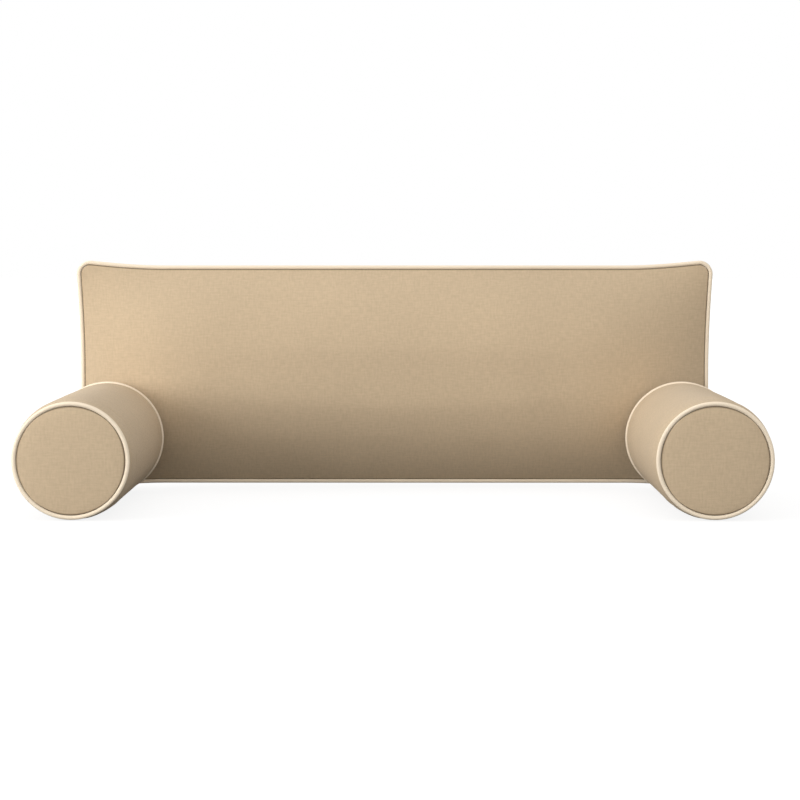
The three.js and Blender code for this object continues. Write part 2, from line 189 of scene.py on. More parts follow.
class Skin:
    """A mesh in the making: points, quads over grids of them, and cloth coordinates in metres."""

    def __init__(self) -> None:
        """Starts with nothing."""
        self.parts: list[np.ndarray] = []
        self.seams: list[np.ndarray] = []
        self.count = 0
        self.faces: list[np.ndarray] = []
        self.cloth: list[np.ndarray] = []

    @property
    def points(self) -> np.ndarray:
        """All the points, in the order of their numbers."""
        return np.concatenate(self.parts)

    def points_moved(self, move: Callable[[np.ndarray], np.ndarray]) -> None:
        """Replaces every point by where move puts it."""
        self.parts = [move(self.points)]

    def add(self, grid: np.ndarray, seam: float | np.ndarray = 0.0) -> np.ndarray:
        """Adds points.

        Args:
            grid: their places.
            seam: 1 where they lie in the shade of a seam, and 0 elsewhere.

        Returns:
            Their numbers, in the grid's own shape.
        """
        flat = grid.reshape(-1, 3)
        self.parts.append(flat)
        self.seams.append(np.broadcast_to(seam, grid.shape[:-1]).ravel())
        self.count += len(flat)
        return np.arange(self.count - len(flat), self.count).reshape(grid.shape[:-1])

    def loft(self, sections: np.ndarray, ring: bool = False) -> None:
        """Skins one run of sections, or many.

        Args:
            sections: the points, by run if there are many, then by section, then round it.
            ring: the last section joins the first; otherwise both ends are closed.
        """
        runs = sections.reshape(-1, *sections.shape[-3:])
        if ring:
            runs = np.concatenate([runs, runs[:, :1]], axis=1)
        else:
            ends = np.broadcast_to(runs[:, [0, -1]].mean(axis=2, keepdims=True), runs[:, [0, -1]].shape)
            runs = np.concatenate([ends[:, :1], runs, ends[:, 1:]], axis=1)
        for run in runs:
            numbers = self.add(run)
            centre = run.mean(axis=1)
            along = np.insert(np.cumsum(np.linalg.norm(np.diff(centre, axis=0), axis=1)), 0, 0)
            widest = run[len(run) // 2]
            sides = np.linalg.norm(np.roll(widest, -1, axis=0) - widest, axis=1)
            round_it = np.insert(np.cumsum(sides), 0, 0)
            self.rings(numbers, np.stack(np.broadcast_arrays(along[:, None], round_it[None, :]), axis=-1))

    def quads(self, numbers: np.ndarray, cloth: np.ndarray, keep: np.ndarray | None = None) -> None:
        """Lays quads over a grid of point numbers.

        Args:
            numbers: the point at each place of the grid.
            cloth: the cloth coordinates at each place.
            keep: which quads are wanted; all of them when it is None.
        """
        wanted = np.ones((numbers.shape[0] - 1, numbers.shape[1] - 1), bool) if keep is None else keep
        for grid, store in ((numbers, self.faces), (cloth, self.cloth)):
            corners = np.stack([grid[:-1, :-1], grid[:-1, 1:], grid[1:, 1:], grid[1:, :-1]], axis=2)
            store.append(corners[wanted])

    def rings(self, numbers: np.ndarray, cloth: np.ndarray, keep: np.ndarray | None = None) -> None:
        """Lays quads between closed rings of points; cloth has one column more than numbers."""
        self.quads(np.concatenate([numbers, numbers[:, :1]], axis=1), cloth, keep)

    def mesh(self, name: str) -> bpy.types.Mesh:
        """The finished mesh, with loose points dropped and its faces turned outwards."""
        faces = np.concatenate(self.faces)
        used = np.unique(faces)
        renumbered = np.zeros(len(self.points), int)
        renumbered[used] = np.arange(len(used))
        mesh = bpy.data.meshes.new(name)
        mesh.from_pydata(self.points[used].tolist(), [], renumbered[faces].tolist())
        layer = mesh.uv_layers.new(name=CLOTH_MAP)
        layer.uv.foreach_set("vector", np.concatenate(self.cloth).astype(np.float32).ravel())
        shade = mesh.attributes.new(SEAM_SHADE, "FLOAT", "POINT")
        shade.data.foreach_set("value", np.concatenate(self.seams)[used].astype(np.float32))
        return finished(mesh)


def outward(mesh: bpy.types.Mesh, merge: bool = False) -> None:
    """Turns a mesh's faces outwards, after merging its doubled points if that is asked for."""
    work = bmesh.new()
    work.from_mesh(mesh)
    if merge:
        bmesh.ops.remove_doubles(work, verts=work.verts, dist=1e-7)
    bmesh.ops.recalc_face_normals(work, faces=work.faces)
    work.to_mesh(mesh)
    work.free()


def finished(mesh: bpy.types.Mesh) -> bpy.types.Mesh:
    """Merges a mesh's doubled points, turns its faces outwards and shades them smooth."""
    outward(mesh, merge=True)
    mesh.shade_smooth()
    return mesh


@dataclass(frozen=True)
class Inflation:
    """Cloth settings that plump a sewn cover over its filling."""

    pressure: float = 4.0
    frames: int = 20
    spare_cloth: float = 0.0
    cap: float = 5 * MM

    def run(self, skin: Skin, held: np.ndarray) -> np.ndarray:
        """Blows a cover up.

        Args:
            skin: the cover at its start.
            held: for each point, 1 where a seam or zip holds it still and 0 where it is free.

        Returns:
            Where the points end up, none of them further than the cap from its start.
        """
        mesh = bpy.data.meshes.new("blown_cover")
        mesh.from_pydata(skin.points.tolist(), [], np.concatenate(skin.faces).tolist())
        outward(mesh)
        obj = bpy.data.objects.new("blown_cover", mesh)
        bpy.context.collection.objects.link(obj)
        group = obj.vertex_groups.new(name="held")
        for number, weight in enumerate(held):
            group.add([number], float(weight), "REPLACE")
        cloth = obj.modifiers.new("Cloth", "CLOTH")
        settings = cloth.settings
        settings.quality = 5
        settings.mass = 0.3
        settings.vertex_group_mass = "held"
        settings.pin_stiffness = 5.0
        settings.shrink_min = -self.spare_cloth
        settings.use_pressure = True
        settings.uniform_pressure_force = self.pressure
        settings.effector_weights.gravity = 0.0
        cloth.collision_settings.use_collision = False
        scene = bpy.context.scene
        scene.frame_start, scene.frame_end = 1, self.frames
        for number in range(1, self.frames + 1):
            scene.frame_set(number)
        blown = obj.evaluated_get(bpy.context.evaluated_depsgraph_get()).data
        moved = np.zeros(len(skin.points) * 3, np.float32)
        blown.vertices.foreach_get("co", moved)
        scene.frame_set(1)
        bpy.data.objects.remove(obj)
        bpy.data.meshes.remove(mesh)
        step = moved.reshape(-1, 3) - skin.points
        length = np.linalg.norm(step, axis=1, keepdims=True)
        step *= np.minimum(1, self.cap / np.maximum(length, NEAR_ZERO))
        log.info("blown up: mean %.2f mm, most %.2f mm", length.mean() / MM, length.max() / MM)
        return skin.points + step


# ---- Node trees ----


class Tree:
    """Short calls that lay out one node tree."""

    def __init__(self, tree: bpy.types.NodeTree) -> None:
        """Keeps the tree that the calls work on."""
        self.tree = tree

    def node(self, kind: str, inputs: dict | None = None, **settings: object) -> bpy.types.Node:
        """Adds a node.

        Args:
            kind: its type, without the ShaderNode in front.
            inputs: values or sockets for its inputs, by name or number.
            settings: its own properties.

        Returns:
            The node.
        """
        made = self.tree.nodes.new(kind if kind.startswith("Node") else f"ShaderNode{kind}")
        for name, value in settings.items():
            setattr(made, name, value)
        for name, value in (inputs or {}).items():
            self.give(made.inputs[name], value)
        return made

    def give(self, socket: bpy.types.NodeSocket, value: object) -> None:
        """Sets a socket to a value, or links it where the value is a socket."""
        if isinstance(value, bpy.types.NodeSocket):
            self.tree.links.new(value, socket)
        else:
            socket.default_value = value

    def maths(self, operation: str, *values: object) -> bpy.types.NodeSocket:
        """The result of a Math node."""
        made = self.node("Math", dict(enumerate(values)), operation=operation)
        return made.outputs[0]

    def blend(self, share: object, first: object, second: object, how: str = "MIX") -> bpy.types.NodeSocket:
        """The result of mixing two colours."""
        made = self.node("Mix", data_type="RGBA", blend_type=how, clamp_factor=True)
        self.give(made.inputs[0], share)
        self.give(made.inputs[6], first)
        self.give(made.inputs[7], second)
        return made.outputs[2]

    def noise(self, at: object, scale: float, detail: float = 2.0) -> bpy.types.NodeSocket:
        """A noise texture's value, from 0 to 1."""
        made = self.node("TexNoise", {"Vector": at, "Scale": scale, "Detail": detail})
        return made.outputs["Fac"]

    def ranged(
        self, value: object, low: float, high: float, to_low: float, to_high: float
    ) -> bpy.types.NodeSocket:
        """A value moved from one range to another, and held within it."""
        inputs = {0: value, 1: low, 2: high, 3: to_low, 4: to_high}
        return self.node("MapRange", inputs).outputs[0]


class Effect:
    """A shader node group that more than one material uses."""

    built: dict[str, bpy.types.NodeTree] = {}

    def __init__(self, name: str, inputs: dict[str, str], outputs: list[str]) -> None:
        """Opens a new group.

        Args:
            name: the group's name.
            inputs: each input's name and kind, which is Float or Vector.
            outputs: the names of its number outputs.
        """
        self.group = bpy.data.node_groups.new(name, "ShaderNodeTree")
        for label, kind in inputs.items():
            self.group.interface.new_socket(label, in_out="INPUT", socket_type=f"NodeSocket{kind}")
        for label in outputs:
            self.group.interface.new_socket(label, in_out="OUTPUT", socket_type="NodeSocketFloat")
        self.tree = Tree(self.group)
        self.given = self.tree.node("NodeGroupInput").outputs
        self.result = self.tree.node("NodeGroupOutput").inputs

    def set(self, name: str, socket: bpy.types.NodeSocket) -> None:
        """Links one of the group's outputs."""
        self.group.links.new(socket, self.result[name])

    @classmethod
    def named(cls, name: str) -> bpy.types.NodeTree:
        """The group of that name, which is built when it is first asked for."""
        if name not in cls.built:
            cls.built[name] = {"plain weave": plain_weave, "slubs": slubs, "handling": handling}[name]()
        return cls.built[name]


def plain_weave() -> bpy.types.NodeTree:
    """Builds the group of a plain weave: each yarn passes over one and under the next."""
    effect = Effect("plain weave", {"Cloth": "Vector", "Pitch": "Float"}, ["Height", "Gap"])
    tree = effect.tree
    scaled = tree.node("VectorMath", {0: effect.given["Cloth"]}, operation="SCALE")
    tree.give(scaled.inputs["Scale"], tree.maths("DIVIDE", 1.0, effect.given["Pitch"]))
    across = tree.node("SeparateXYZ", {0: scaled.outputs[0]}).outputs
    tops = []
    for mine, other, sign in ((across[0], across[1], 0.5), (across[1], across[0], -0.5)):
        rounding = tree.maths("ABSOLUTE", tree.maths("SINE", tree.maths("MULTIPLY", mine, math.pi)))
        phase = tree.maths("MULTIPLY", tree.maths("ADD", tree.maths("FLOOR", mine), other), math.pi)
        rise = tree.maths("MULTIPLY_ADD", tree.maths("SINE", phase), sign, 0.5)
        tops.append(tree.maths("MULTIPLY", rounding, rise))
    height = tree.maths("MAXIMUM", *tops)
    effect.set("Height", height)
    effect.set("Gap", tree.ranged(height, 0.0, 0.5, 1.0, 0.0))
    return effect.group


def slubs() -> bpy.types.NodeTree:
    """Builds the group of slubs: thick and thin places along the yarns, both ways of the cloth."""
    effect = Effect("slubs", {"Cloth": "Vector", "Length": "Float", "Width": "Float"}, ["Tone"])
    tree = effect.tree
    along = tree.maths("DIVIDE", 1.0, effect.given["Length"])
    thin = tree.maths("DIVIDE", 1.0, effect.given["Width"])
    found = []
    for x, y in ((along, thin), (thin, along)):
        scale = tree.node("CombineXYZ", {0: x, 1: y, 2: 1.0}).outputs[0]
        at = tree.node("VectorMath", {0: effect.given["Cloth"], 1: scale}, operation="MULTIPLY").outputs[0]
        found.append(tree.noise(at, 1.0, 1.0))
    effect.set("Tone", tree.ranged(tree.maths("ADD", *found), 0.7, 1.3, -1.0, 1.0))
    return effect.group


def handling() -> bpy.types.NodeTree:
    """Builds the group of soft uneven patches, edges that are rubbed a little lighter, and painted shade in
    creases, where the surface curves inwards.
    """
    effect = Effect("handling", {"Place": "Vector", "Pointiness": "Float"}, ["Patch", "Rubbed", "Crease"])
    tree = effect.tree
    effect.set("Patch", tree.ranged(tree.noise(effect.given["Place"], 5.0, 3.0), 0.3, 0.7, -1.0, 1.0))
    effect.set("Rubbed", tree.ranged(effect.given["Pointiness"], 0.52, 0.62, 0.0, 1.0))
    # Painted shade: low pointiness, where the surface curves inwards, marks the creases that are darkened.
    effect.set("Crease", tree.ranged(effect.given["Pointiness"], 0.48, 0.4, 0.0, 1.0))
    return effect.group


# ---- Finishes ----


@dataclass(frozen=True)
class Finish:
    """What every finish has: a name, a colour, a roughness and how it varies."""

    name: str
    colour: Colour
    roughness: float = 0.9
    unevenness: float = 0.03
    rubbed: Colour = (0.9, 0.85, 0.78)
    rub_share: float = 0.05
    # Painted shade: the dark colour, and the share, that creases and seams are darkened towards.
    crease: Colour = (0.12, 0.085, 0.05)
    crease_share: float = 0.3
    specular: float = 0.25
    dark_share: float = 0.35

    def material(self) -> bpy.types.Material:
        """The material, built when it is first asked for."""
        made = bpy.data.materials.get(self.name)
        return made if made else self.build()

    def build(self) -> bpy.types.Material:
        """Builds the material from this finish's own colour, relief and constants."""
        made = bpy.data.materials.new(self.name)
        made.use_nodes = True
        tree = Tree(made.node_tree)
        shader = made.node_tree.nodes["Principled BSDF"]
        cloth = tree.node("UVMap", uv_map=CLOTH_MAP).outputs[0]
        place = tree.node("TexCoord").outputs["Object"]
        pointiness = tree.node("NewGeometry").outputs["Pointiness"]
        worn_and_shaded = tree.node("Group", node_tree=Effect.named("handling"))
        tree.give(worn_and_shaded.inputs["Place"], place)
        tree.give(worn_and_shaded.inputs["Pointiness"], pointiness)
        colour, height, depth = self.surface(tree, cloth, place)
        patch = tree.maths("MULTIPLY_ADD", worn_and_shaded.outputs["Patch"], self.unevenness, 1.0)
        uneven = tree.node("VectorMath", {0: colour}, operation="SCALE")
        tree.give(uneven.inputs["Scale"], patch)
        lighter = tree.maths("MULTIPLY", worn_and_shaded.outputs["Rubbed"], self.rub_share)
        # Painted shade: creases are darkened towards the dark shade colour.
        darker = tree.maths("MULTIPLY", worn_and_shaded.outputs["Crease"], self.crease_share)
        rubbed = tree.blend(lighter, uneven.outputs[0], (*self.rubbed, 1.0))
        tree.give(shader.inputs["Base Color"], tree.blend(darker, rubbed, (*self.crease, 1.0)))
        rough = tree.maths("MULTIPLY_ADD", worn_and_shaded.outputs["Patch"], self.unevenness, self.roughness)
        tree.give(shader.inputs["Roughness"], rough)
        bump = tree.node("Bump", {"Height": height, "Distance": depth, "Strength": 1.0})
        tree.give(shader.inputs["Normal"], bump.outputs[0])
        self.constants(shader)
        return made

    def surface(self, tree: Tree, cloth: object, place: object) -> tuple[object, object, float]:
        """The colour, the relief's height from 0 to 1, and the relief's depth in metres."""
        return (*self.colour, 1.0), tree.noise(place, 400.0), 0.05 * MM

    def constants(self, shader: bpy.types.Node) -> None:
        """Sets what is the same all over the surface."""
        shader.inputs["Specular IOR Level"].default_value = self.specular

    def dark(self) -> tuple[float, ...]:
        """The finish's shade colour, with full alpha: painted shade where the relief sinks, and the deeper
        tone of moulded grain and brush strokes.
        """
        return (*(self.dark_share * c for c in self.colour), 1.0)


@dataclass(frozen=True)
class Woven(Finish):
    """A plain-woven cloth."""

    thread: Colour = (0.9, 0.75, 0.55)
    pitch: float = 1.1 * MM
    relief: float = 0.16 * MM
    slub_length: float = 15 * MM
    slub_width: float = 3.2 * MM
    slub_share: float = 0.26
    gap_share: float = 0.2
    # Painted shadow: the share by which seams and the panel rims beside them are darkened.
    seam_share: float = 0.9
    bias: float = 0.0
    sheen: float = 0.12
    sheen_roughness: float = 0.5
    specular: float = 0.2

    def surface(self, tree: Tree, cloth: object, place: object) -> tuple[object, object, float]:
        """Yarns over and under each other, with slubs along them, shade between them, and painted shadow
        along the seams.
        """
        turn = {"Vector": cloth, "Angle": self.bias}
        turned = tree.node("VectorRotate", turn, rotation_type="Z_AXIS").outputs[0]
        weave = tree.node("Group", node_tree=Effect.named("plain weave"))
        tree.give(weave.inputs["Cloth"], turned)
        weave.inputs["Pitch"].default_value = self.pitch
        slub = tree.node("Group", node_tree=Effect.named("slubs"))
        tree.give(slub.inputs["Cloth"], turned)
        slub.inputs["Length"].default_value = self.slub_length
        slub.inputs["Width"].default_value = self.slub_width
        tone = tree.maths("MULTIPLY_ADD", slub.outputs["Tone"], self.slub_share, 0.5)
        yarn = tree.blend(tone, (*self.colour, 1.0), (*self.thread, 1.0))
        shade = tree.maths("MULTIPLY", weave.outputs["Gap"], self.gap_share)
        in_seam = tree.node("Attribute", attribute_name=SEAM_SHADE).outputs["Fac"]
        # Painted shadow: the seam shade attribute darkens the cloth along the seams.
        sewn = tree.maths("MULTIPLY", tree.ranged(in_seam, 0.3, 0.6, 0.0, 1.0), self.seam_share)
        colour = tree.blend(sewn, tree.blend(shade, yarn, self.dark()), (*self.crease, 1.0))
        height = tree.maths("MULTIPLY_ADD", slub.outputs["Tone"], 0.25, weave.outputs["Height"])
        return colour, height, self.relief

    def constants(self, shader: bpy.types.Node) -> None:
        """Cloth has a dull surface with a soft sheen."""
        super().constants(shader)
        shader.inputs["Sheen Weight"].default_value = self.sheen
        shader.inputs["Sheen Roughness"].default_value = self.sheen_roughness


@dataclass(frozen=True)
class Twisted(Finish):
    """Cord or thread, with fibres that run round it at a slant."""

    ply: float = 2.4 * MM
    relief: float = 0.15 * MM
    fuzz: float = 1500.0
    dark_share: float = 0.6

    def surface(self, tree: Tree, cloth: object, place: object) -> tuple[object, object, float]:
        """Slanted fibres with random tone, and painted shade between the plies."""
        across = tree.node("SeparateXYZ", {0: cloth}).outputs
        slanted = tree.maths("ADD", across[0], across[1])
        wave = tree.maths("SINE", tree.maths("MULTIPLY", slanted, 2 * math.pi / self.ply))
        height = tree.ranged(wave, -1.0, 1.0, 0.0, 1.0)
        fibre = tree.noise(place, self.fuzz)
        tone = tree.maths("MULTIPLY_ADD", height, 0.6, tree.maths("MULTIPLY", fibre, 0.4))
        return tree.blend(tone, self.dark(), (*self.colour, 1.0)), height, self.relief


@dataclass(frozen=True)
class Fluffy(Finish):
    """Fibre filling or foam, with clumps or cells."""

    cell: float = 3 * MM
    relief: float = 0.8 * MM
    dark_share: float = 0.75

    def surface(self, tree: Tree, cloth: object, place: object) -> tuple[object, object, float]:
        """Cells or clumps, with painted shade where they sink."""
        cells = tree.node("TexVoronoi", {"Vector": place, "Scale": 1 / self.cell}).outputs["Distance"]
        wisp = tree.noise(place, 0.6 / self.cell, 4.0)
        height = tree.maths("MULTIPLY", cells, wisp)
        return tree.blend(height, self.dark(), (*self.colour, 1.0)), height, self.relief


@dataclass(frozen=True)
class Moulded(Finish):
    """Moulded nylon, slightly glossy, with a fine grain."""

    grain: float = 2500.0
    specular: float = 0.5
    dark_share: float = 0.85

    def surface(self, tree: Tree, cloth: object, place: object) -> tuple[object, object, float]:
        """A fine grain with small changes of tone."""
        grain = tree.noise(place, self.grain)
        return tree.blend(grain, self.dark(), (*self.colour, 1.0)), grain, GRAIN_DEPTH


@dataclass(frozen=True)
class Metal(Finish):
    """Satin nickel, brushed along the X of the object."""

    stroke: float = 3000.0
    stretch: tuple[float, float, float] = (0.1, 1.0, 1.0)
    dark_share: float = 0.8

    def surface(self, tree: Tree, cloth: object, place: object) -> tuple[object, object, float]:
        """Fine brush strokes."""
        stretch = tree.node("VectorMath", {0: place, 1: self.stretch}, operation="MULTIPLY").outputs[0]
        stroke = tree.noise(stretch, self.stroke)
        return tree.blend(stroke, self.dark(), (*self.colour, 1.0)), stroke, GRAIN_DEPTH

    def constants(self, shader: bpy.types.Node) -> None:
        """Bare metal."""
        shader.inputs["Metallic"].default_value = 1.0


CANVAS = Woven("sand canvas", (0.56, 0.43, 0.28), thread=(0.70, 0.54, 0.36), roughness=0.92)
PIPING_CLOTH = Woven(
    "cream piping cloth", (0.95, 0.79, 0.59), thread=(1.0, 0.87, 0.69), pitch=0.8 * MM, bias=math.pi / 4,
    relief=0.08 * MM, slub_share=0.06, gap_share=0.12, roughness=0.85,
)
TICKING = Woven(
    "white ticking", (0.84, 0.82, 0.78), thread=(0.93, 0.91, 0.87), pitch=0.6 * MM, relief=0.05 * MM,
    slub_share=0.05, gap_share=0.1,
)
ZIP_TAPE = Woven(
    "beige zip tape", (0.50, 0.38, 0.25), thread=(0.60, 0.47, 0.32), pitch=0.7 * MM, relief=0.08 * MM,
    slub_share=0.04, gap_share=0.3,
)
CORD = Twisted("cotton cord", (0.86, 0.82, 0.72))
THREAD = Twisted("sand thread", (0.66, 0.51, 0.34), ply=0.5 * MM, relief=0.04 * MM)
FIBRE = Fluffy("fibre filling", (0.93, 0.93, 0.91), cell=9 * MM, relief=2 * MM, roughness=1.0)
FOAM = Fluffy("pale foam", (0.82, 0.74, 0.46), cell=1.2 * MM, relief=0.4 * MM, roughness=0.95)
TEETH = Moulded("beige nylon", (0.50, 0.38, 0.24), roughness=0.4, unevenness=0.02)
NICKEL = Metal("satin nickel", (0.62, 0.60, 0.56), roughness=0.32, unevenness=0.05, rub_share=0.4)


def dressed(
    name: str, mesh: bpy.types.Mesh, finish: Finish, body: str, slot: Slot, nodes: tuple[str, ...] = ()
) -> bpy.types.Object:
    """Makes a piece of a mesh.

    Args:
        name: the piece's name.
        mesh: its mesh, in the frame's metres.
        finish: what it is made of.
        body: the body that it rides on.
        slot: the material slot that it stands for; not used.
        nodes: the frame's nodes that it replaces.

    Returns:
        The piece.
    """
    piece = bpy.data.objects.new(name, mesh)
    bpy.context.collection.objects.link(piece)
    mesh.materials.append(finish.material())
    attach(piece, body)
    if nodes:
        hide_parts(*nodes)
    log.info("%s: %d faces on %s", name, len(mesh.polygons), body)
    return piece


# ---- Piping ----


@dataclass
class Piping:
    """A strip of cloth folded round a cord, swept round a closed rail."""

    radius: float = 3.8 * MM
    cord_radius: float = 2.6 * MM
    facets: int = 16
    neck: float = 0.5 * MM
    twist: float = 18 * MM

    def cover(self, rail: np.ndarray, outward: np.ndarray, side: np.ndarray) -> Skin:
        """The folded cloth.

        Args:
            rail: the points of the cord's centre line.
            outward: at each, the direction away from the cushion.
            side: the direction across the seam.

        Returns:
            A closed tube, drawn to a neck where it is sewn in.
        """
        turn = np.linspace(-np.pi, np.pi, self.facets, endpoint=False)
        out = self.radius * np.cos(turn) - self.neck * np.clip(-np.cos(turn), 0, 1) ** 8
        return self.swept(rail, outward, side, np.broadcast_to(out, (len(rail), self.facets)),
                          np.broadcast_to(self.radius * np.sin(turn), (len(rail), self.facets)))

    def cord(self, rail: np.ndarray, outward: np.ndarray, side: np.ndarray) -> Skin:
        """The three-ply cord inside, whose plies turn as they run."""
        run = np.cumsum(np.linalg.norm(np.roll(rail, -1, axis=0) - rail, axis=1))
        turns = max(1, round(run[-1] / self.twist))
        phase = (2 * np.pi * turns / run[-1]) * run[:, None]
        turn = np.linspace(-np.pi, np.pi, 12, endpoint=False)[None, :]
        reach = self.cord_radius * (0.88 + 0.12 * np.cos(3 * turn - phase))
        return self.swept(rail, outward, side, reach * np.cos(turn), reach * np.sin(turn))

    def swept(
        self, rail: np.ndarray, outward: np.ndarray, side: np.ndarray, out: np.ndarray, off: np.ndarray
    ) -> Skin:
        """Places a section at every point of the rail, out from it and off to the side."""
        skin = Skin()
        skin.loft(rail[:, None] + out[..., None] * outward[:, None] + off[..., None] * side, ring=True)
        return skin

    def pieces(self, name: str, node: str, body: str, rail: np.ndarray, outward: np.ndarray) -> None:
        """Makes the cover and its cord, in a plane across Y."""
        side = np.array([0.0, 1.0, 0.0])
        cover = dressed(name, self.cover(rail, outward, side).mesh(name), PIPING_CLOTH, body, Slot.PIPING,
                        (f"{node}_piping_cover",))
        add_subdivision(cover)
        dressed(f"{name}_cord", self.cord(rail, outward, side).mesh(f"{name}_cord"), CORD, body, Slot.CORD,
                (f"{node}_piping_cord",))


def add_subdivision(piece: bpy.types.Object) -> None:
    """Adds one smooth subdivision."""
    modifier = piece.modifiers.new("Subdivision", "SUBSURF")
    modifier.levels = modifier.render_levels = 1


def add_thickness(piece: bpy.types.Object, thickness: float) -> None:
    """Gives a skin of cloth its thickness, inwards."""
    modifier = piece.modifiers.new("Cloth thickness", "SOLIDIFY")
    modifier.thickness, modifier.offset = thickness, -1.0


# ---- Zip ----


@dataclass
class ZipPlace:
    """Where a zip lies: X along its chain, Y across it and Z out of the cloth, from the frame's joints."""

    prefix: str
    cover_body: str
    slider_inset: float = 9.4 * MM
    hinge_height: float = 1.5 * MM

    def __post_init__(self) -> None:
        """Reads the zip's axes, length and middle from the frame."""
        joints = {joint["name"]: joint for joint in frame["joints"]}
        slide = joints[f"{self.prefix}_zip_slide"]
        turn = joints[f"{self.prefix}_zip_pull_turn"]
        self.along = -np.array(slide["axis"], float)
        self.across = np.array(turn["axis"], float)
        self.normal = np.cross(self.along, self.across)
        low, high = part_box(f"{self.prefix}_zip_tape_a")
        self.length = float(np.abs(np.array(high - low) @ self.along))
        self.rest = self.length / 2 - self.slider_inset
        hinge = np.array(turn["pos_m"], float)
        self.middle = hinge - self.rest * self.along - self.hinge_height * self.normal

    def place(self, local: np.ndarray) -> np.ndarray:
        """Moves points from the zip's own axes to the frame's."""
        return self.middle + local @ np.stack([self.along, self.across, self.normal])


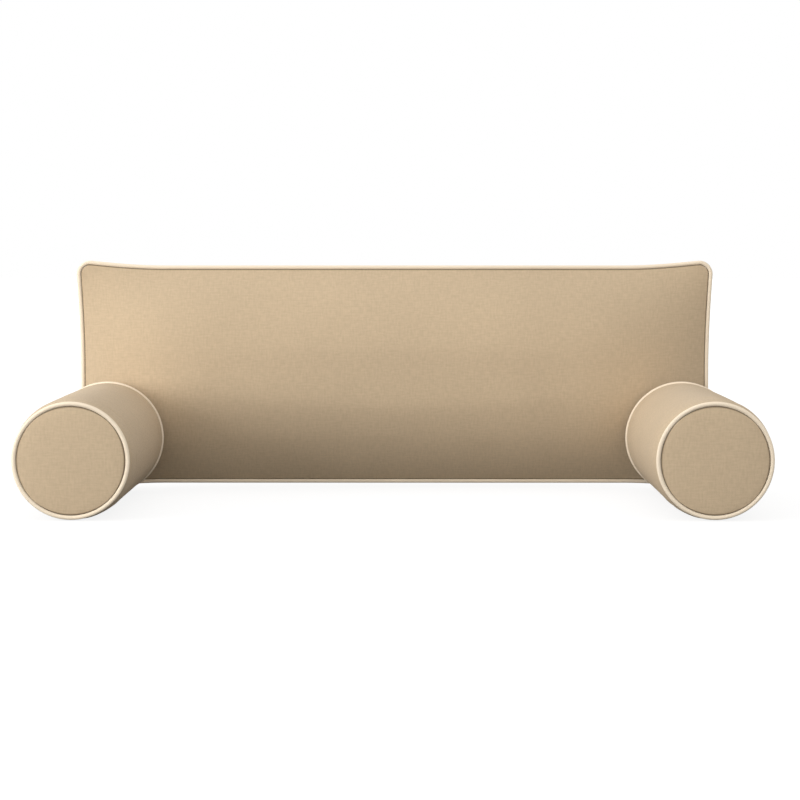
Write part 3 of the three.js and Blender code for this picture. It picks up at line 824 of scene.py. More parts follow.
@dataclass
class Zip:
    """A moulded zip: two tapes, two rows of teeth, two stops, a slider and its pull."""

    place: ZipPlace
    tape_width: float = 13 * MM
    tape_thickness: float = 0.8 * MM
    tape_depth: float = 3.4 * MM
    centre_gap: float = 0.2 * MM
    chain_bottom: float = -3.1 * MM
    chain_top: float = -0.9 * MM
    chain_half: float = 2.6 * MM
    tooth_pitch: float = 2.6 * MM
    tooth_head: float = 1.05 * MM
    tooth_overlap: float = 0.5 * MM
    stop_length: float = 4 * MM
    slider_length: float = 10 * MM
    slider_half: float = 3.8 * MM
    slider_wall: float = 0.9 * MM
    wall_bottom: float = -2.8 * MM
    roof_bottom: float = -0.6 * MM
    roof_top: float = 0.6 * MM
    arch_inner: float = 1.0 * MM
    arch_wall: float = 1.1 * MM
    arch_width: float = 2.6 * MM
    arch_top: float = 3.5 * MM
    pull_length: float = 27 * MM
    pull_width: float = 7 * MM
    pull_thickness: float = 1.2 * MM
    pull_window: float = 4.4 * MM
    window_half: float = 1.7 * MM

    def make(self, name: str, finish: Finish, body: str, slot: Slot, sections: np.ndarray,
             ring: bool = False) -> bpy.types.Object:
        """Makes a piece of the zip from sections in the zip's axes; it replaces the node of its name."""
        skin = Skin()
        skin.loft(self.place.place(sections), ring)
        full = f"{self.place.prefix}_zip_{name}"
        return dressed(full + "_piece", skin.mesh(full), finish, body, slot, (full,))

    def build(self) -> None:
        """Makes every piece."""
        for side, label in ((1, "a"), (-1, "b")):
            self.tape(side, label)
            self.teeth(side, label)
        self.stop("closed_end_stop", 1)
        self.stop("open_end_stop", -1)
        self.slider()
        self.pull()

    def tape(self, side: int, label: str) -> None:
        """A woven tape with a corded inner edge."""
        top, bottom = -self.tape_depth, -self.tape_depth - self.tape_thickness
        inner, outer = self.centre_gap, self.centre_gap + self.tape_width
        bead = 1.6 * MM
        profile = [(inner, top), (inner + bead, top), (inner + 1.2 * bead, top - 0.2 * MM),
                   (outer - 0.3 * MM, top - 0.2 * MM), (outer, (top + bottom) / 2),
                   (outer - 0.3 * MM, bottom), (inner, bottom)]
        half = self.place.length / 2
        sections = np.array([[(x, side * y, z) for y, z in profile] for x in spread(-half, half, 20 * MM)])
        self.make(f"tape_{label}", ZIP_TAPE, self.place.cover_body, Slot.TAPE, sections)

    def teeth(self, side: int, label: str) -> None:
        """One row of moulded teeth; the heads of the two rows lie between each other."""
        reach = self.place.length / 2 - self.stop_length - self.tooth_pitch / 2
        starts = np.arange(-reach, reach, self.tooth_pitch) + (0 if side > 0 else self.tooth_pitch / 2)
        starts = starts[starts < reach]
        middle = (self.chain_top + self.chain_bottom) / 2
        tall = (self.chain_top - self.chain_bottom) / 2
        ring = np.linspace(0, 2 * np.pi, 8, endpoint=False) + np.pi / 8
        shape = np.stack([np.cos(ring), np.sin(ring)], axis=1)
        shape /= np.abs(shape).max()
        stations = [(self.chain_half, 0.85, 0.9), (0.55 * self.chain_half, 0.9, 1.0),
                    (0.25 * self.chain_half, 0.62, 0.8), (0, 1.0, 0.8), (-self.tooth_overlap, 0.7, 0.6)]
        tooth = np.array([
            [(wide * self.tooth_head / 2 * a, side * y, middle + high * tall * b) for a, b in shape]
            for y, wide, high in stations
        ])
        sections = tooth[None] + np.stack([starts, 0 * starts, 0 * starts], axis=1)[:, None, None]
        self.make(f"teeth_{label}", TEETH, self.place.cover_body, Slot.TEETH, sections)

    def stop(self, name: str, end: int) -> None:
        """A clamped metal stop with rounded ends."""
        half = self.place.length / 2
        middle = (self.chain_top + self.chain_bottom) / 2
        tall = (self.chain_top - self.chain_bottom) / 2
        turn = np.linspace(0, 2 * np.pi, 12, endpoint=False)
        corner = np.stack([np.sign(np.cos(turn)) * np.abs(np.cos(turn)) ** 0.4,
                           np.sign(np.sin(turn)) * np.abs(np.sin(turn)) ** 0.4], axis=1)
        stations = [(0, 0.8), (0.12, 1.0), (0.42, 1.0), (0.5, 0.86), (0.58, 1.0), (0.88, 1.0), (1, 0.8)]
        sections = np.array([
            [(end * (half - share * self.stop_length), size * self.chain_half * a, middle + size * tall * b)
             for a, b in corner]
            for share, size in stations
        ])
        self.make(name, NICKEL, self.place.cover_body, Slot.METAL, sections)

    def channel(self) -> Skin:
        """The slider's roof and two walls, as a channel that is open below and at both of its ends."""
        half, roof = self.slider_half, self.roof_top
        inner = half - self.slider_wall
        outside = [(half, self.wall_bottom), (half, roof - 0.7 * MM), (half - 0.25 * MM, roof - 0.25 * MM),
                   (half - 0.8 * MM, roof), (0, roof)]
        outside += [(-y, z) for y, z in outside[-2::-1]]
        inside = [(inner, self.wall_bottom), (inner, self.roof_bottom - 0.2 * MM), (inner, self.roof_bottom),
                  (inner / 2, self.roof_bottom), (0, self.roof_bottom)]
        inside += [(-y, z) for y, z in inside[-2::-1]]
        stations = [(-0.5, 0.94, 0.2), (-0.44, 1.0, 0.0), (0.3, 1.0, 0.0), (0.44, 0.98, 0.08),
                    (0.5, 0.93, 0.3)]
        grid = np.array([
            [[(share * self.slider_length, y * (wide if abs(y) > inner else 1), z - drop * MM * (z > 0))
              for y, z in chain] for chain in (outside, inside)]
            for share, wide, drop in stations
        ])
        skin = Skin()
        numbers = skin.add(grid)
        for face in (np.s_[:, 0], np.s_[:, 1], np.s_[0], np.s_[-1], np.s_[:, :, 0], np.s_[:, :, -1]):
            skin.quads(numbers[face], grid[face][..., :2])
        return skin

    def slider(self) -> None:
        """The channel over both rows of teeth, and the arch that holds the pull."""
        skin = self.channel()
        skin.loft(self.arch())
        skin.points_moved(lambda points: self.place.place(points + [self.place.rest, 0, 0]))
        full = f"{self.place.prefix}_zip_slider"
        piece = dressed(full + "_piece", skin.mesh(full), NICKEL, full, Slot.METAL, (full,))
        add_bevel(piece, 0.12 * MM)

    def arch(self) -> np.ndarray:
        """Sections of the arch, from one foot to the other."""
        inner, wall = self.arch_inner, self.arch_wall
        rise = self.arch_top - wall
        wide = self.arch_width / 2
        feet = self.roof_bottom + INSIDE_WALL
        path = [((-inner, feet), (-inner - wall, feet)),
                ((-inner, rise - 0.5 * MM), (-inner - wall, rise - 0.3 * MM)),
                ((-inner + 0.3 * MM, rise), (-inner - 0.4 * MM, self.arch_top - 0.2 * MM)),
                ((0, rise), (0, self.arch_top))]
        path += [((-a[0], a[1]), (-b[0], b[1])) for a, b in path[-2::-1]]
        return np.array([[(a[0], -wide, a[1]), (a[0], wide, a[1]), (b[0], wide, b[1]), (b[0], -wide, b[1])]
                         for a, b in path])

    def pull(self) -> None:
        """A flat tab with a window, whose end bar turns inside the arch."""
        bar, half = self.pull_thickness / 2, self.pull_width / 2
        tip = -(self.pull_length - half)
        turn = np.linspace(np.pi / 2, 3 * np.pi / 2, 15)
        outer = [(bar, 0.55 * half), (0, 0.7 * half), (-self.pull_window, 0.78 * half),
                 (tip * 0.55, 0.8 * half)]
        rim = [*outer, *((tip + half * math.cos(a), half * math.sin(a)) for a in turn)]
        rim += [(x, -y) for x, y in outer[::-1]]
        window = [(-bar, -self.window_half), (-bar, self.window_half)]
        window += [(-bar - self.pull_window, self.window_half), (-bar - self.pull_window, -self.window_half)]
        round_eye = np.linspace(0, 2 * np.pi, 16)[:-1]
        eye = [(tip + 0.4 * half * math.cos(a), 0.4 * half * math.sin(a)) for a in round_eye]
        curve = bpy.data.curves.new("pull_outline", "CURVE")
        curve.dimensions, curve.fill_mode = "2D", "BOTH"
        curve.bevel_depth, curve.bevel_resolution = 0.2 * MM, 2
        curve.extrude, curve.offset = bar - curve.bevel_depth, -curve.bevel_depth
        for loop in (rim, window, eye):
            spline = curve.splines.new("POLY")
            spline.points.add(len(loop) - 1)
            spline.points.foreach_set("co", [n for x, y in loop for n in (x, y, 0, 1)])
            spline.use_cyclic_u = True
        holder = bpy.data.objects.new("pull_outline", curve)
        mesh = bpy.data.meshes.new_from_object(holder)
        bpy.data.objects.remove(holder)
        points = np.array([v.co for v in mesh.vertices]) + [self.place.rest, 0, self.place.hinge_height]
        mesh.vertices.foreach_set("co", self.place.place(points).astype(np.float32).ravel())
        mesh = finished(mesh)
        mesh.materials.clear()
        has_map = CLOTH_MAP in mesh.uv_layers
        flat = mesh.uv_layers[CLOTH_MAP] if has_map else mesh.uv_layers.new(name=CLOTH_MAP)
        flat.active = True
        mesh.set_sharp_from_angle(angle=math.radians(35))
        full = f"{self.place.prefix}_zip_pull"
        dressed(full + "_piece", mesh, NICKEL, full, Slot.METAL, (full,))


def add_bevel(piece: bpy.types.Object, width: float) -> None:
    """Rounds the sharp edges of a metal piece."""
    modifier = piece.modifiers.new("Rounded edges", "BEVEL")
    modifier.width, modifier.segments, modifier.angle_limit = width, 2, math.radians(40)
    piece.data.set_sharp_from_angle(angle=math.radians(40))


@dataclass
class Stitching:
    """Rows of topstitching that lie on the cloth."""

    pitch: float = 3.6 * MM
    length: float = 2.7 * MM
    radius: float = 0.32 * MM

    def skin(self, rows: list[tuple[np.ndarray, np.ndarray]]) -> Skin:
        """The stitches of some rows.

        Args:
            rows: for each row, its points in order and the cloth's normals there.

        Returns:
            A capsule for each stitch, its ends sunk in the cloth.
        """
        skin = Skin()
        for points, normals in rows:
            run = np.insert(np.cumsum(np.linalg.norm(np.diff(points, axis=0), axis=1)), 0, 0)
            starts = np.arange(self.pitch / 2, run[-1] - self.length, self.pitch)
            shares = np.array([0, 0.18, 0.5, 0.82, 1.0])
            at = starts[:, None] + self.length * shares
            centre = np.stack([np.interp(at, run, points[:, k]) for k in range(3)], axis=-1)
            up = np.stack([np.interp(at, run, normals[:, k]) for k in range(3)], axis=-1)
            along = np.gradient(centre, axis=1)
            along /= np.linalg.norm(along, axis=-1, keepdims=True)
            side = np.cross(along, up)
            size = self.radius * np.array([0.45, 0.9, 1.0, 0.9, 0.45])
            rise = self.radius * np.array([-0.7, 0.25, 0.5, 0.25, -0.7])
            turn = np.linspace(0, 2 * np.pi, 6, endpoint=False)
            ring = np.cos(turn)[:, None] * side[..., None, :] + np.sin(turn)[:, None] * up[..., None, :]
            centre = centre + rise[:, None] * up
            skin.loft(centre[..., None, :] + size[:, None, None] * ring)
        return skin


# ---- Cushion covers ----


@dataclass
class Bag:
    """A sewn cover in the making: a front grid, rings of points round its edge, and a rear grid."""

    skin: Skin = field(default_factory=Skin)
    held: list[np.ndarray] = field(default_factory=list)

    def add(self, points: np.ndarray, held: np.ndarray, seam: float | np.ndarray = 0.0) -> np.ndarray:
        """Adds points with how firmly each is held and how much painted seam shadow each gets, and returns
        their numbers.
        """
        self.held.append(np.broadcast_to(held, points.shape[:-1]).ravel())
        return self.skin.add(points, seam)

    def firmness(self) -> np.ndarray:
        """How firmly every point is held."""
        return np.concatenate(self.held)


@dataclass
class ZipOpening:
    """The slot in a cover over its zip: its edges are turned under, and meet in a seam beyond the zip."""

    half: float = 4.8 * MM
    seam_half: float = 0.4 * MM
    shoulder: float = 3 * MM
    tuck_depth: float = 2.8 * MM
    seam_depth: float = 1.4 * MM
    taper: float = 8 * MM
    play: float = 1 * MM

    def openness(self, along: np.ndarray, half_length: float) -> np.ndarray:
        """1 over the zip, falling to 0 just beyond its ends."""
        return np.clip(1 - (np.abs(along) - half_length - self.play) / self.taper, 0, 1)

    def edge(self, openness: np.ndarray) -> np.ndarray:
        """How far each edge lies from the zip's line."""
        return self.shoulder + (self.half - self.shoulder) * openness

    def tuck(self, openness: np.ndarray) -> tuple[np.ndarray, np.ndarray]:
        """How far the turned-under cloth lies from the zip's line, and how deep."""
        off = self.seam_half + (self.half - self.seam_half) * openness
        return off, self.seam_depth + (self.tuck_depth - self.seam_depth) * openness


@dataclass
class BackCushion:
    """The long knife-edge cushion: two crowned panels, piping all round, and a zip low in the rear."""

    width: float = 1240 * MM
    height: float = 444 * MM
    thickness: float = 144 * MM
    corner_radius: float = 26 * MM
    corner_share: float = 0.9
    long_edge_pull: float = 9.6 * MM
    long_edge_reach: float = 146 * MM
    short_edge_pull: float = 7.4 * MM
    short_edge_reach: float = 180 * MM
    crown_reach_x: float = 260 * MM
    crown_reach_z: float = 180 * MM
    zip_height: float = 96 * MM
    panel_inset: float = 8 * MM
    panel_base: float = 2.6 * MM
    insert_inset: float = 16.6 * MM
    insert_crown: float = 62.6 * MM
    cloth: float = 1 * MM
    ticking: float = 1.2 * MM
    step: float = 10 * MM
    slack: float = 0.03
    piping: Piping = field(default_factory=Piping)
    opening: ZipOpening = field(default_factory=ZipOpening)
    plump: Inflation = field(default_factory=Inflation)
    body: str = "back_cushion"

    def __post_init__(self) -> None:
        """Reads the seam's plane and the zip's place from the frame."""
        low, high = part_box("back_piping_cover")
        self.plane = (low.y + high.y) / 2
        self.crown = self.thickness / 2 - self.panel_base
        self.zip_place = ZipPlace("back", self.body)
        self.straight_z = self.height / 2 - self.panel_inset - self.corner_at(self.panel_inset)
        self.zip_stop = (self.zip_height - self.height / 2) / (self.height / 2 - self.corner_radius)
        self.per_stop = self.straight_z * (1 - self.long_edge_pull / (self.height / 2))

    def corner_at(self, inset: float) -> float:
        """The corner's radius at an inset; it stays rounder than a true inset would leave it."""
        return self.corner_radius - self.corner_share * inset

    def outline(self, u: np.ndarray, v: np.ndarray, inset: float) -> tuple[np.ndarray, ...]:
        """A point of the cushion's plane.

        Args:
            u: its stop across: up to 1 on the straight part of an edge, and to 2 round the corner.
            v: its stop up.
            inset: how far the outermost line is drawn in from the cushion's own edge.

        Returns:
            x and z from the cushion's middle, and the distances to the side and to the top or bottom.
        """
        half_x, half_z, radius = self.width / 2 - inset, self.height / 2 - inset, self.corner_at(inset)
        p, q = np.clip(np.abs(u) - 1, 0, 1), np.clip(np.abs(v) - 1, 0, 1)
        x = np.clip(np.abs(u), 0, 1) * (half_x - radius) + radius * p * np.sqrt(1 - q * q / 2)
        z = np.clip(np.abs(v), 0, 1) * (half_z - radius) + radius * q * np.sqrt(1 - p * p / 2)
        pull_z = self.long_edge_pull * drawn_in(self.width / 2 - self.corner_radius - x, self.long_edge_reach)
        pull_x = self.short_edge_pull * drawn_in(
            self.height / 2 - self.corner_radius - z, self.short_edge_reach)
        drawn_x = np.sign(u) * x * (1 - pull_x / (self.width / 2))
        drawn_z = np.sign(v) * z * (1 - pull_z / (self.height / 2))
        return drawn_x, drawn_z, half_x - x, half_z - z

    def surface(
        self, u: np.ndarray, v: np.ndarray, side: int, inset: float, base: float, crown: float
    ) -> np.ndarray:
        """Points of a crowned panel on one side of the seam, -1 in front and 1 behind."""
        x, z, to_side, to_edge = self.outline(u, v, inset)
        rise = swell(to_side, self.crown_reach_x) * swell(to_edge, self.crown_reach_z)
        return np.stack([x, self.plane + side * (base + crown * rise), z + self.height / 2], axis=-1)

    def grid(self) -> tuple[np.ndarray, np.ndarray]:
        """The stops of the cover's grid, with the zip's own rows and columns among them."""
        straight_x = self.width / 2 - self.panel_inset - self.corner_at(self.panel_inset)
        corner = list(spread(1, 2, 0.25)[1:])
        half = self.zip_place.length / 2
        beyond = (0.0, self.opening.play, self.opening.play + self.opening.taper)
        marks = [(half + extra) / straight_x for extra in beyond]
        columns = with_marks(spread(-1, 1, self.step / straight_x), [-m for m in marks] + marks,
                             0.45 * self.step / straight_x)
        near = [self.opening.half, self.opening.half + 4 * MM, self.opening.half + 11 * MM]
        offsets = [-n for n in near] + [-self.opening.seam_half, self.opening.seam_half] + near
        rows = with_marks(spread(-1, 1, self.step / self.straight_z),
                          [self.zip_stop + o / self.per_stop for o in offsets],
                          0.5 * self.step / self.straight_z)
        before = [-c for c in corner[::-1]]
        return np.meshgrid(*(np.concatenate([before, stops, corner]) for stops in (columns, rows)))

    def rear_panel(self, u: np.ndarray, v: np.ndarray) -> tuple[np.ndarray, np.ndarray]:
        """The rear panel's points, with the cloth turned under beside the zip, and each column's openness."""
        points = self.surface(u, v, 1, self.panel_inset, self.panel_base, self.crown)
        opened = self.opening.openness(points[..., 0], self.zip_place.length / 2)
        fade = np.clip((self.width / 2 - np.abs(points[..., 0]) - self.panel_inset) / (30 * MM), 0, 1)
        off, depth = self.opening.tuck(opened)
        edge = self.opening.edge(opened)
        distance = (v - self.zip_stop) * self.per_stop
        side = np.sign(distance)
        rows = {}
        for name, mark in (("tuck", self.opening.seam_half), ("edge", self.opening.half)):
            rows[name] = np.isclose(np.abs(distance), mark, atol=MARK_SLIP)
        target = np.where(rows["tuck"], off, edge)
        moved = self.surface(u, self.zip_stop + side * target / self.per_stop, 1, self.panel_inset,
                             self.panel_base, self.crown)
        moved = moved - (rows["tuck"] * depth + rows["edge"] * EDGE_SINK)[..., None] * self.zip_place.normal
        share = ((rows["tuck"] | rows["edge"]) * fade)[..., None]
        return points * (1 - share) + moved * share, opened

    def cover(self) -> Skin:
        """The whole cover as one closed skin, blown up over its filling."""
        u, v = self.grid()
        bag = Bag()
        rings = [boundary(u), boundary(v)]
        front = self.surface(u, v, -1, self.panel_inset, self.panel_base, self.crown)
        rear, opened = self.rear_panel(u, v)
        at_edge = np.maximum(np.abs(u), np.abs(v)) > 2 - NEAR_ZERO
        strip = np.abs((v - self.zip_stop) * self.per_stop)
        near_zip = np.clip(FIRM_START - strip / FIRM_REACH, 0, 1)
        firm_rear = np.maximum(at_edge, near_zip)
        full_front, full_rear = front.copy(), rear.copy()
        for points, firm in ((front, at_edge), (rear, firm_rear)):
            points[..., 1] -= (1 - firm) * self.slack * (points[..., 1] - self.plane)
        # The panel rims get part of the painted seam shadow, and the turned edges in the seam all of it.
        front_numbers = bag.add(front, at_edge.astype(float), RIM_SHADE * at_edge)
        turned = [(-EDGE_SINK, -LIP_HALF), (0.0, 0.0), (-EDGE_SINK, LIP_HALF)]
        edge_numbers = []
        for inset, off in turned:
            ring = self.surface(*rings, 1, self.panel_inset + inset, off, 0.0)
            edge_numbers.append(bag.add(ring, np.ones(len(ring)), 1.0))
        rear_numbers = bag.add(rear, firm_rear, RIM_SHADE * at_edge)
        skin = bag.skin
        loops = np.array([boundary(front_numbers), *edge_numbers, boundary(rear_numbers)])
        skin.quads(front_numbers, np.stack([run_of(full_front, 1), run_of(full_front, 0)], axis=-1))
        steps = np.linalg.norm(np.diff(boundary(full_front), axis=0), axis=1)
        run = closed(np.insert(np.cumsum(steps), 0, 0))
        run[-1] = run[-2] + self.step
        across = np.arange(len(loops))[:, None] * LIP_HALF
        skin.rings(loops, np.stack(np.broadcast_arrays(run[None, :], across), axis=-1))
        slot = (np.abs(full_rear[..., 0]) <= self.zip_place.length / 2 + JUST_OVER * self.opening.play)
        inner = strip < self.opening.seam_half + MARK_SLIP
        open_here = slot & inner
        corners = [open_here[:-1, :-1], open_here[:-1, 1:], open_here[1:, 1:], open_here[1:, :-1]]
        skin.quads(rear_numbers, np.stack([run_of(full_rear, 1), run_of(full_rear, 0)], axis=-1),
                   ~np.logical_and.reduce(corners))
        blown = self.plump.run(skin, bag.firmness())
        seam = skin.points[front_numbers.size:rear_numbers.min()]
        envelope = np.concatenate([full_front.reshape(-1, 3), seam, full_rear.reshape(-1, 3)])
        off, most = blown[:, 1] - self.plane, envelope[:, 1] - self.plane
        blown[:, 1] = self.plane + np.sign(most) * np.minimum(np.abs(off), np.abs(most))
        skin.points_moved(lambda points: blown)
        return skin

    def rail(self) -> tuple[np.ndarray, np.ndarray]:
        """The piping's centre line with its outward directions."""
        columns = np.concatenate([-spread(1, 2, 0.1)[:0:-1], spread(-1, 1, 0.02), spread(1, 2, 0.1)[1:]])
        rows = np.concatenate([-spread(1, 2, 0.1)[:0:-1], spread(-1, 1, 0.05), spread(1, 2, 0.1)[1:]])
        u, v = np.meshgrid(columns, rows)
        rail = self.surface(boundary(u), boundary(v), 1, self.piping.radius, 0.0, 0.0)
        along = np.roll(rail, -1, axis=0) - np.roll(rail, 1, axis=0)
        along /= np.linalg.norm(along, axis=1, keepdims=True)
        return rail, np.stack([along[:, 2], 0 * along[:, 1], -along[:, 0]], axis=1)

    def insert(self, shrink: float) -> Skin:
        """A closed crowned bag inside the cover, drawn in all round by shrink."""
        stops = np.array([0.12, 0.36, 0.55, 0.7, 0.86, 1, 1.5, 2])
        u, v = np.meshgrid(np.concatenate([-stops[::-1], stops]), np.concatenate([-stops[::-1], stops]))
        skin = Skin()
        inset = self.insert_inset + shrink
        base, crown = 1.4 * MM - 0.5 * shrink, self.insert_crown - shrink
        sides = [skin.add(self.surface(u, v, side, inset, base, crown)) for side in (-1, 1)]
        seam = skin.add(self.surface(boundary(u), boundary(v), 1, inset - 0.6 * MM, 0.0, 0.0))
        flat = self.surface(u, v, 1, inset, 0.0, 0.0)[..., [0, 2]]
        for numbers in sides:
            skin.quads(numbers, flat)
        loops = np.array([boundary(sides[0]), seam, boundary(sides[1])])
        skin.rings(loops, np.tile(closed(boundary(flat)), (3, 1, 1)))
        return skin

    def beside_zip(self, off: float) -> tuple[np.ndarray, np.ndarray]:
        """A line of points on the cloth beside the zip, with the cloth's normals."""
        half = self.zip_place.length / 2 + STITCH_BEYOND
        x = spread(-half, half, STITCH_STEP)
        u = x / (self.width / 2 - self.panel_inset - self.corner_at(self.panel_inset))
        v = np.full_like(u, self.zip_stop + off / self.per_stop)
        points = self.surface(u, v, 1, self.panel_inset, self.panel_base, self.crown)
        return points, np.tile(self.zip_place.normal, (len(x), 1))

    def build(self) -> None:
        """Makes the cover, its piping, its zip with topstitching, and the insert."""
        cover = self.piece("back_cushion_cover", self.cover(), CANVAS, Slot.COVER,
                           "back_front_panel", "back_rear_upper_panel", "back_rear_lower_panel")
        add_thickness(cover, self.cloth)
        add_subdivision(cover)
        self.piping.pieces("back_cushion_piping", "back", self.body, *self.rail())
        ticking = self.piece("back_insert_bag", self.insert(0.0), TICKING, Slot.TICKING,
                             "back_insert_front_ticking", "back_insert_rear_ticking")
        filling = self.piece("back_fibre_filling", self.insert(self.ticking), FIBRE, Slot.BATTING,
                             "back_fibre_fill")
        for piece in (ticking, filling):
            add_subdivision(piece)
        Zip(self.zip_place).build()
        rows = [self.beside_zip(off) for off in (-STITCH_OFF, STITCH_OFF)]
        self.piece("back_zip_topstitching", Stitching().skin(rows), THREAD, Slot.COVER)

    def piece(self, name: str, skin: Skin, finish: Finish, slot: Slot, *nodes: str) -> bpy.types.Object:
        """Makes one of the cushion's pieces, which replaces the nodes named."""
        return dressed(name, skin.mesh(name), finish, self.body, slot, nodes)


@dataclass
class Bolster:
    """A round bolster pillow: a tube with a zip in its outer flank, and two piped, slightly domed ends."""

    flank: Flank
    end_radius: float = 101.8 * MM
    swell_height: float = 7.5 * MM
    swell_reach: float = 60 * MM
    swell_power: float = 2.6
    tube_end: float = 4.2 * MM
    tube_start: float = 99.2 * MM
    end_rim: float = 93.8 * MM
    end_rise: float = 2.6 * MM
    end_dome: float = 5 * MM
    cloth: float = 1 * MM
    step: float = 10 * MM
    slack: float = 1 * MM
    rear_fullness: float = 6 * MM
    segments: int = 20
    piping: Piping = field(default_factory=Piping)
    opening: ZipOpening = field(default_factory=ZipOpening)
    plump: Inflation = field(default_factory=lambda: Inflation(cap=3 * MM, spare_cloth=0.002))

    def __post_init__(self) -> None:
        """Reads where the bolster lies from the frame."""
        self.name = self.flank.prefix
        low, high = self.ring_box("front")
        rear_low, rear_high = self.ring_box("rear")
        self.front, self.rear = (low.y + high.y) / 2, (rear_low.y + rear_high.y) / 2
        self.axis_x, self.axis_z = (low.x + high.x) / 2, (low.z + high.z) / 2
        self.middle = (self.front + self.rear) / 2
        self.seam_radius = self.end_radius - self.piping.radius
        self.cloth_half = (self.rear - self.front) / 2 - self.tube_end
        self.zip_place = ZipPlace(self.name, self.name)

    def ring_box(self, end: str) -> tuple[Vector, Vector]:
        """The box of one piping ring."""
        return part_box(f"{self.name}_{end}_piping_cover")

    def tube_radius(self, y: np.ndarray) -> np.ndarray:
        """The tube's radius at a place along it, from its middle."""
        distance = self.cloth_half - np.abs(y)
        fuller = np.where(np.asarray(y) > 0, self.rear_fullness, 0.0)
        rise = swell(distance, self.swell_reach, self.swell_power)
        return self.tube_start + fuller + (self.swell_height - fuller) * rise

    def at(self, angle: np.ndarray, radius: np.ndarray, y: np.ndarray, low: float = 0.0) -> np.ndarray:
        """Points in the frame.

        Args:
            angle: how far round the axis, from the zip.
            radius: how far from the axis.
            y: how far along, from the middle.
            low: the height below which the cloth is pressed flat.

        Returns:
            The points' places.
        """
        x = self.axis_x + self.flank.value * radius * np.cos(angle)
        z = np.maximum(self.axis_z + radius * np.sin(angle), low)
        return np.stack(np.broadcast_arrays(x, self.middle + y, z), axis=-1)

    def above_ring(self, radius: float) -> float:
        """The lowest that cloth of a given radius can lie over a piping ring that rests on the floor."""
        return self.piping.radius + self.seam_radius - radius

    def stops(self) -> tuple[np.ndarray, np.ndarray]:
        """The angles of an end panel's grid lines, across and up; those up have the zip's own among them."""
        quarter = np.linspace(-np.pi / 4, np.pi / 4, self.segments + 1)
        radius = self.tube_start + self.swell_height
        near = [self.opening.seam_half, self.opening.half, self.opening.half + 4 * MM]
        marks = [side * off / radius for off in near for side in (-1, 1)]
        return quarter, with_marks(quarter, marks, 0.5 * (quarter[1] - quarter[0]))

    def end_panel(self, end: int) -> tuple[np.ndarray, np.ndarray]:
        """One end panel.

        Args:
            end: -1 for the front and 1 for the rear.

        Returns:
            Its grid of points, and their flat cloth coordinates.
        """
        across, up = (math.sqrt(2) * np.sin(stops) for stops in self.stops())
        u, v = np.meshgrid(across, up)
        x, z = u * np.sqrt(1 - v * v / 2), v * np.sqrt(1 - u * u / 2)
        share = np.hypot(x, z)
        rise = self.end_rise + self.end_dome * (1 - share**2)
        place, rim = (self.rear, self.end_rim + self.rear_fullness) if end > 0 else (self.front, self.end_rim)
        height = np.maximum(self.axis_z + z * rim, self.above_ring(self.end_rim))
        points = np.stack([self.axis_x + self.flank.value * x * rim, place + end * rise, height], axis=-1)
        return points, points[..., [0, 2]]

    def cover(self) -> Skin:
        """The whole cover as one closed skin, blown up over its filling."""
        across, up = self.stops()
        u, v = np.meshgrid(math.sqrt(2) * np.sin(across), math.sqrt(2) * np.sin(up))
        angle = np.arctan2(boundary(v * np.sqrt(1 - u * u / 2)), boundary(u * np.sqrt(1 - v * v / 2)))
        bag = Bag()
        half = (self.rear - self.front) / 2
        panels = [self.end_panel(end) for end in (-1, 1)]
        rim = self.rim_held(u, v)
        numbers = [bag.add(panels[0][0], rim, RIM_SHADE * rim)]
        rolled = [(94.1 * MM, 1.3 * MM), (94.3 * MM, 0.0), (94.5 * MM, -1.7 * MM), (96.4 * MM, -3.7 * MM)]
        near = np.concatenate([[0, 3, 8], spread(15, 60, 9)]) * MM
        beyond = (0, self.opening.play, self.opening.play + self.opening.taper)
        marks = [self.zip_place.length / 2 + extra for extra in beyond]
        inner = with_marks(spread(-self.cloth_half + 70 * MM, self.cloth_half - 70 * MM, self.step),
                           [-m for m in marks] + marks, 0.45 * self.step)
        along = np.concatenate([-self.cloth_half + near, inner, (self.cloth_half - near)[::-1]])
        rings = [self.at(angle, radius, -half - rise) for radius, rise in rolled]
        tube = [self.tube_ring(angle, y) for y in along]
        rings += tube + [self.at(angle, radius + self.rear_fullness, half + rise, self.above_ring(radius))
                         for radius, rise in rolled[::-1]]
        strip = np.abs(self.near_zip(angle))
        firm = np.clip(FIRM_START - strip / FIRM_REACH, 0, 1)
        held = [np.ones(len(angle))] * len(rolled)
        held += [np.maximum(firm, abs(y) > self.cloth_half - 1 * MM) for y in along] + held[: len(rolled)]
        full = np.array(rings)
        loose = full.copy()
        away = full - [self.axis_x, 0, self.axis_z]
        away[..., 1] = 0
        away /= np.linalg.norm(away, axis=-1, keepdims=True)
        loose -= (1 - np.array(held))[..., None] * self.slack * away
        # The rolled rings in the seams get full painted seam shadow, and the tube none.
        hidden = [1.0] * (len(rolled) - 1)
        in_seam = hidden + [0.0] * (len(rings) - 2 * len(hidden)) + hidden
        loops = np.array([bag.add(*ring) for ring in zip(loose, held, in_seam)])
        numbers.append(bag.add(panels[1][0], rim, RIM_SHADE * rim))
        skin = bag.skin
        for grid, (_, flat) in zip(numbers, panels):
            skin.quads(grid, flat)
        loops = np.array([boundary(numbers[0]), *loops, boundary(numbers[1])])
        turn = np.unwrap(closed(angle)) * (self.tube_start + self.swell_height)
        run = np.concatenate([[-half - 3 * MM], full[:, 0, 1] - self.middle, [half + 3 * MM]])
        cloth = np.stack(np.broadcast_arrays(turn[None, :], run[:, None]), axis=-1)
        skin.rings(loops, cloth, self.kept(angle, run))
        blown = self.plump.run(skin, bag.firmness())
        most = np.concatenate([part.reshape(-1, 3) for part in (panels[0][0], full, panels[1][0])])
        skin.points_moved(lambda points: self.contained(blown, most))
        return skin

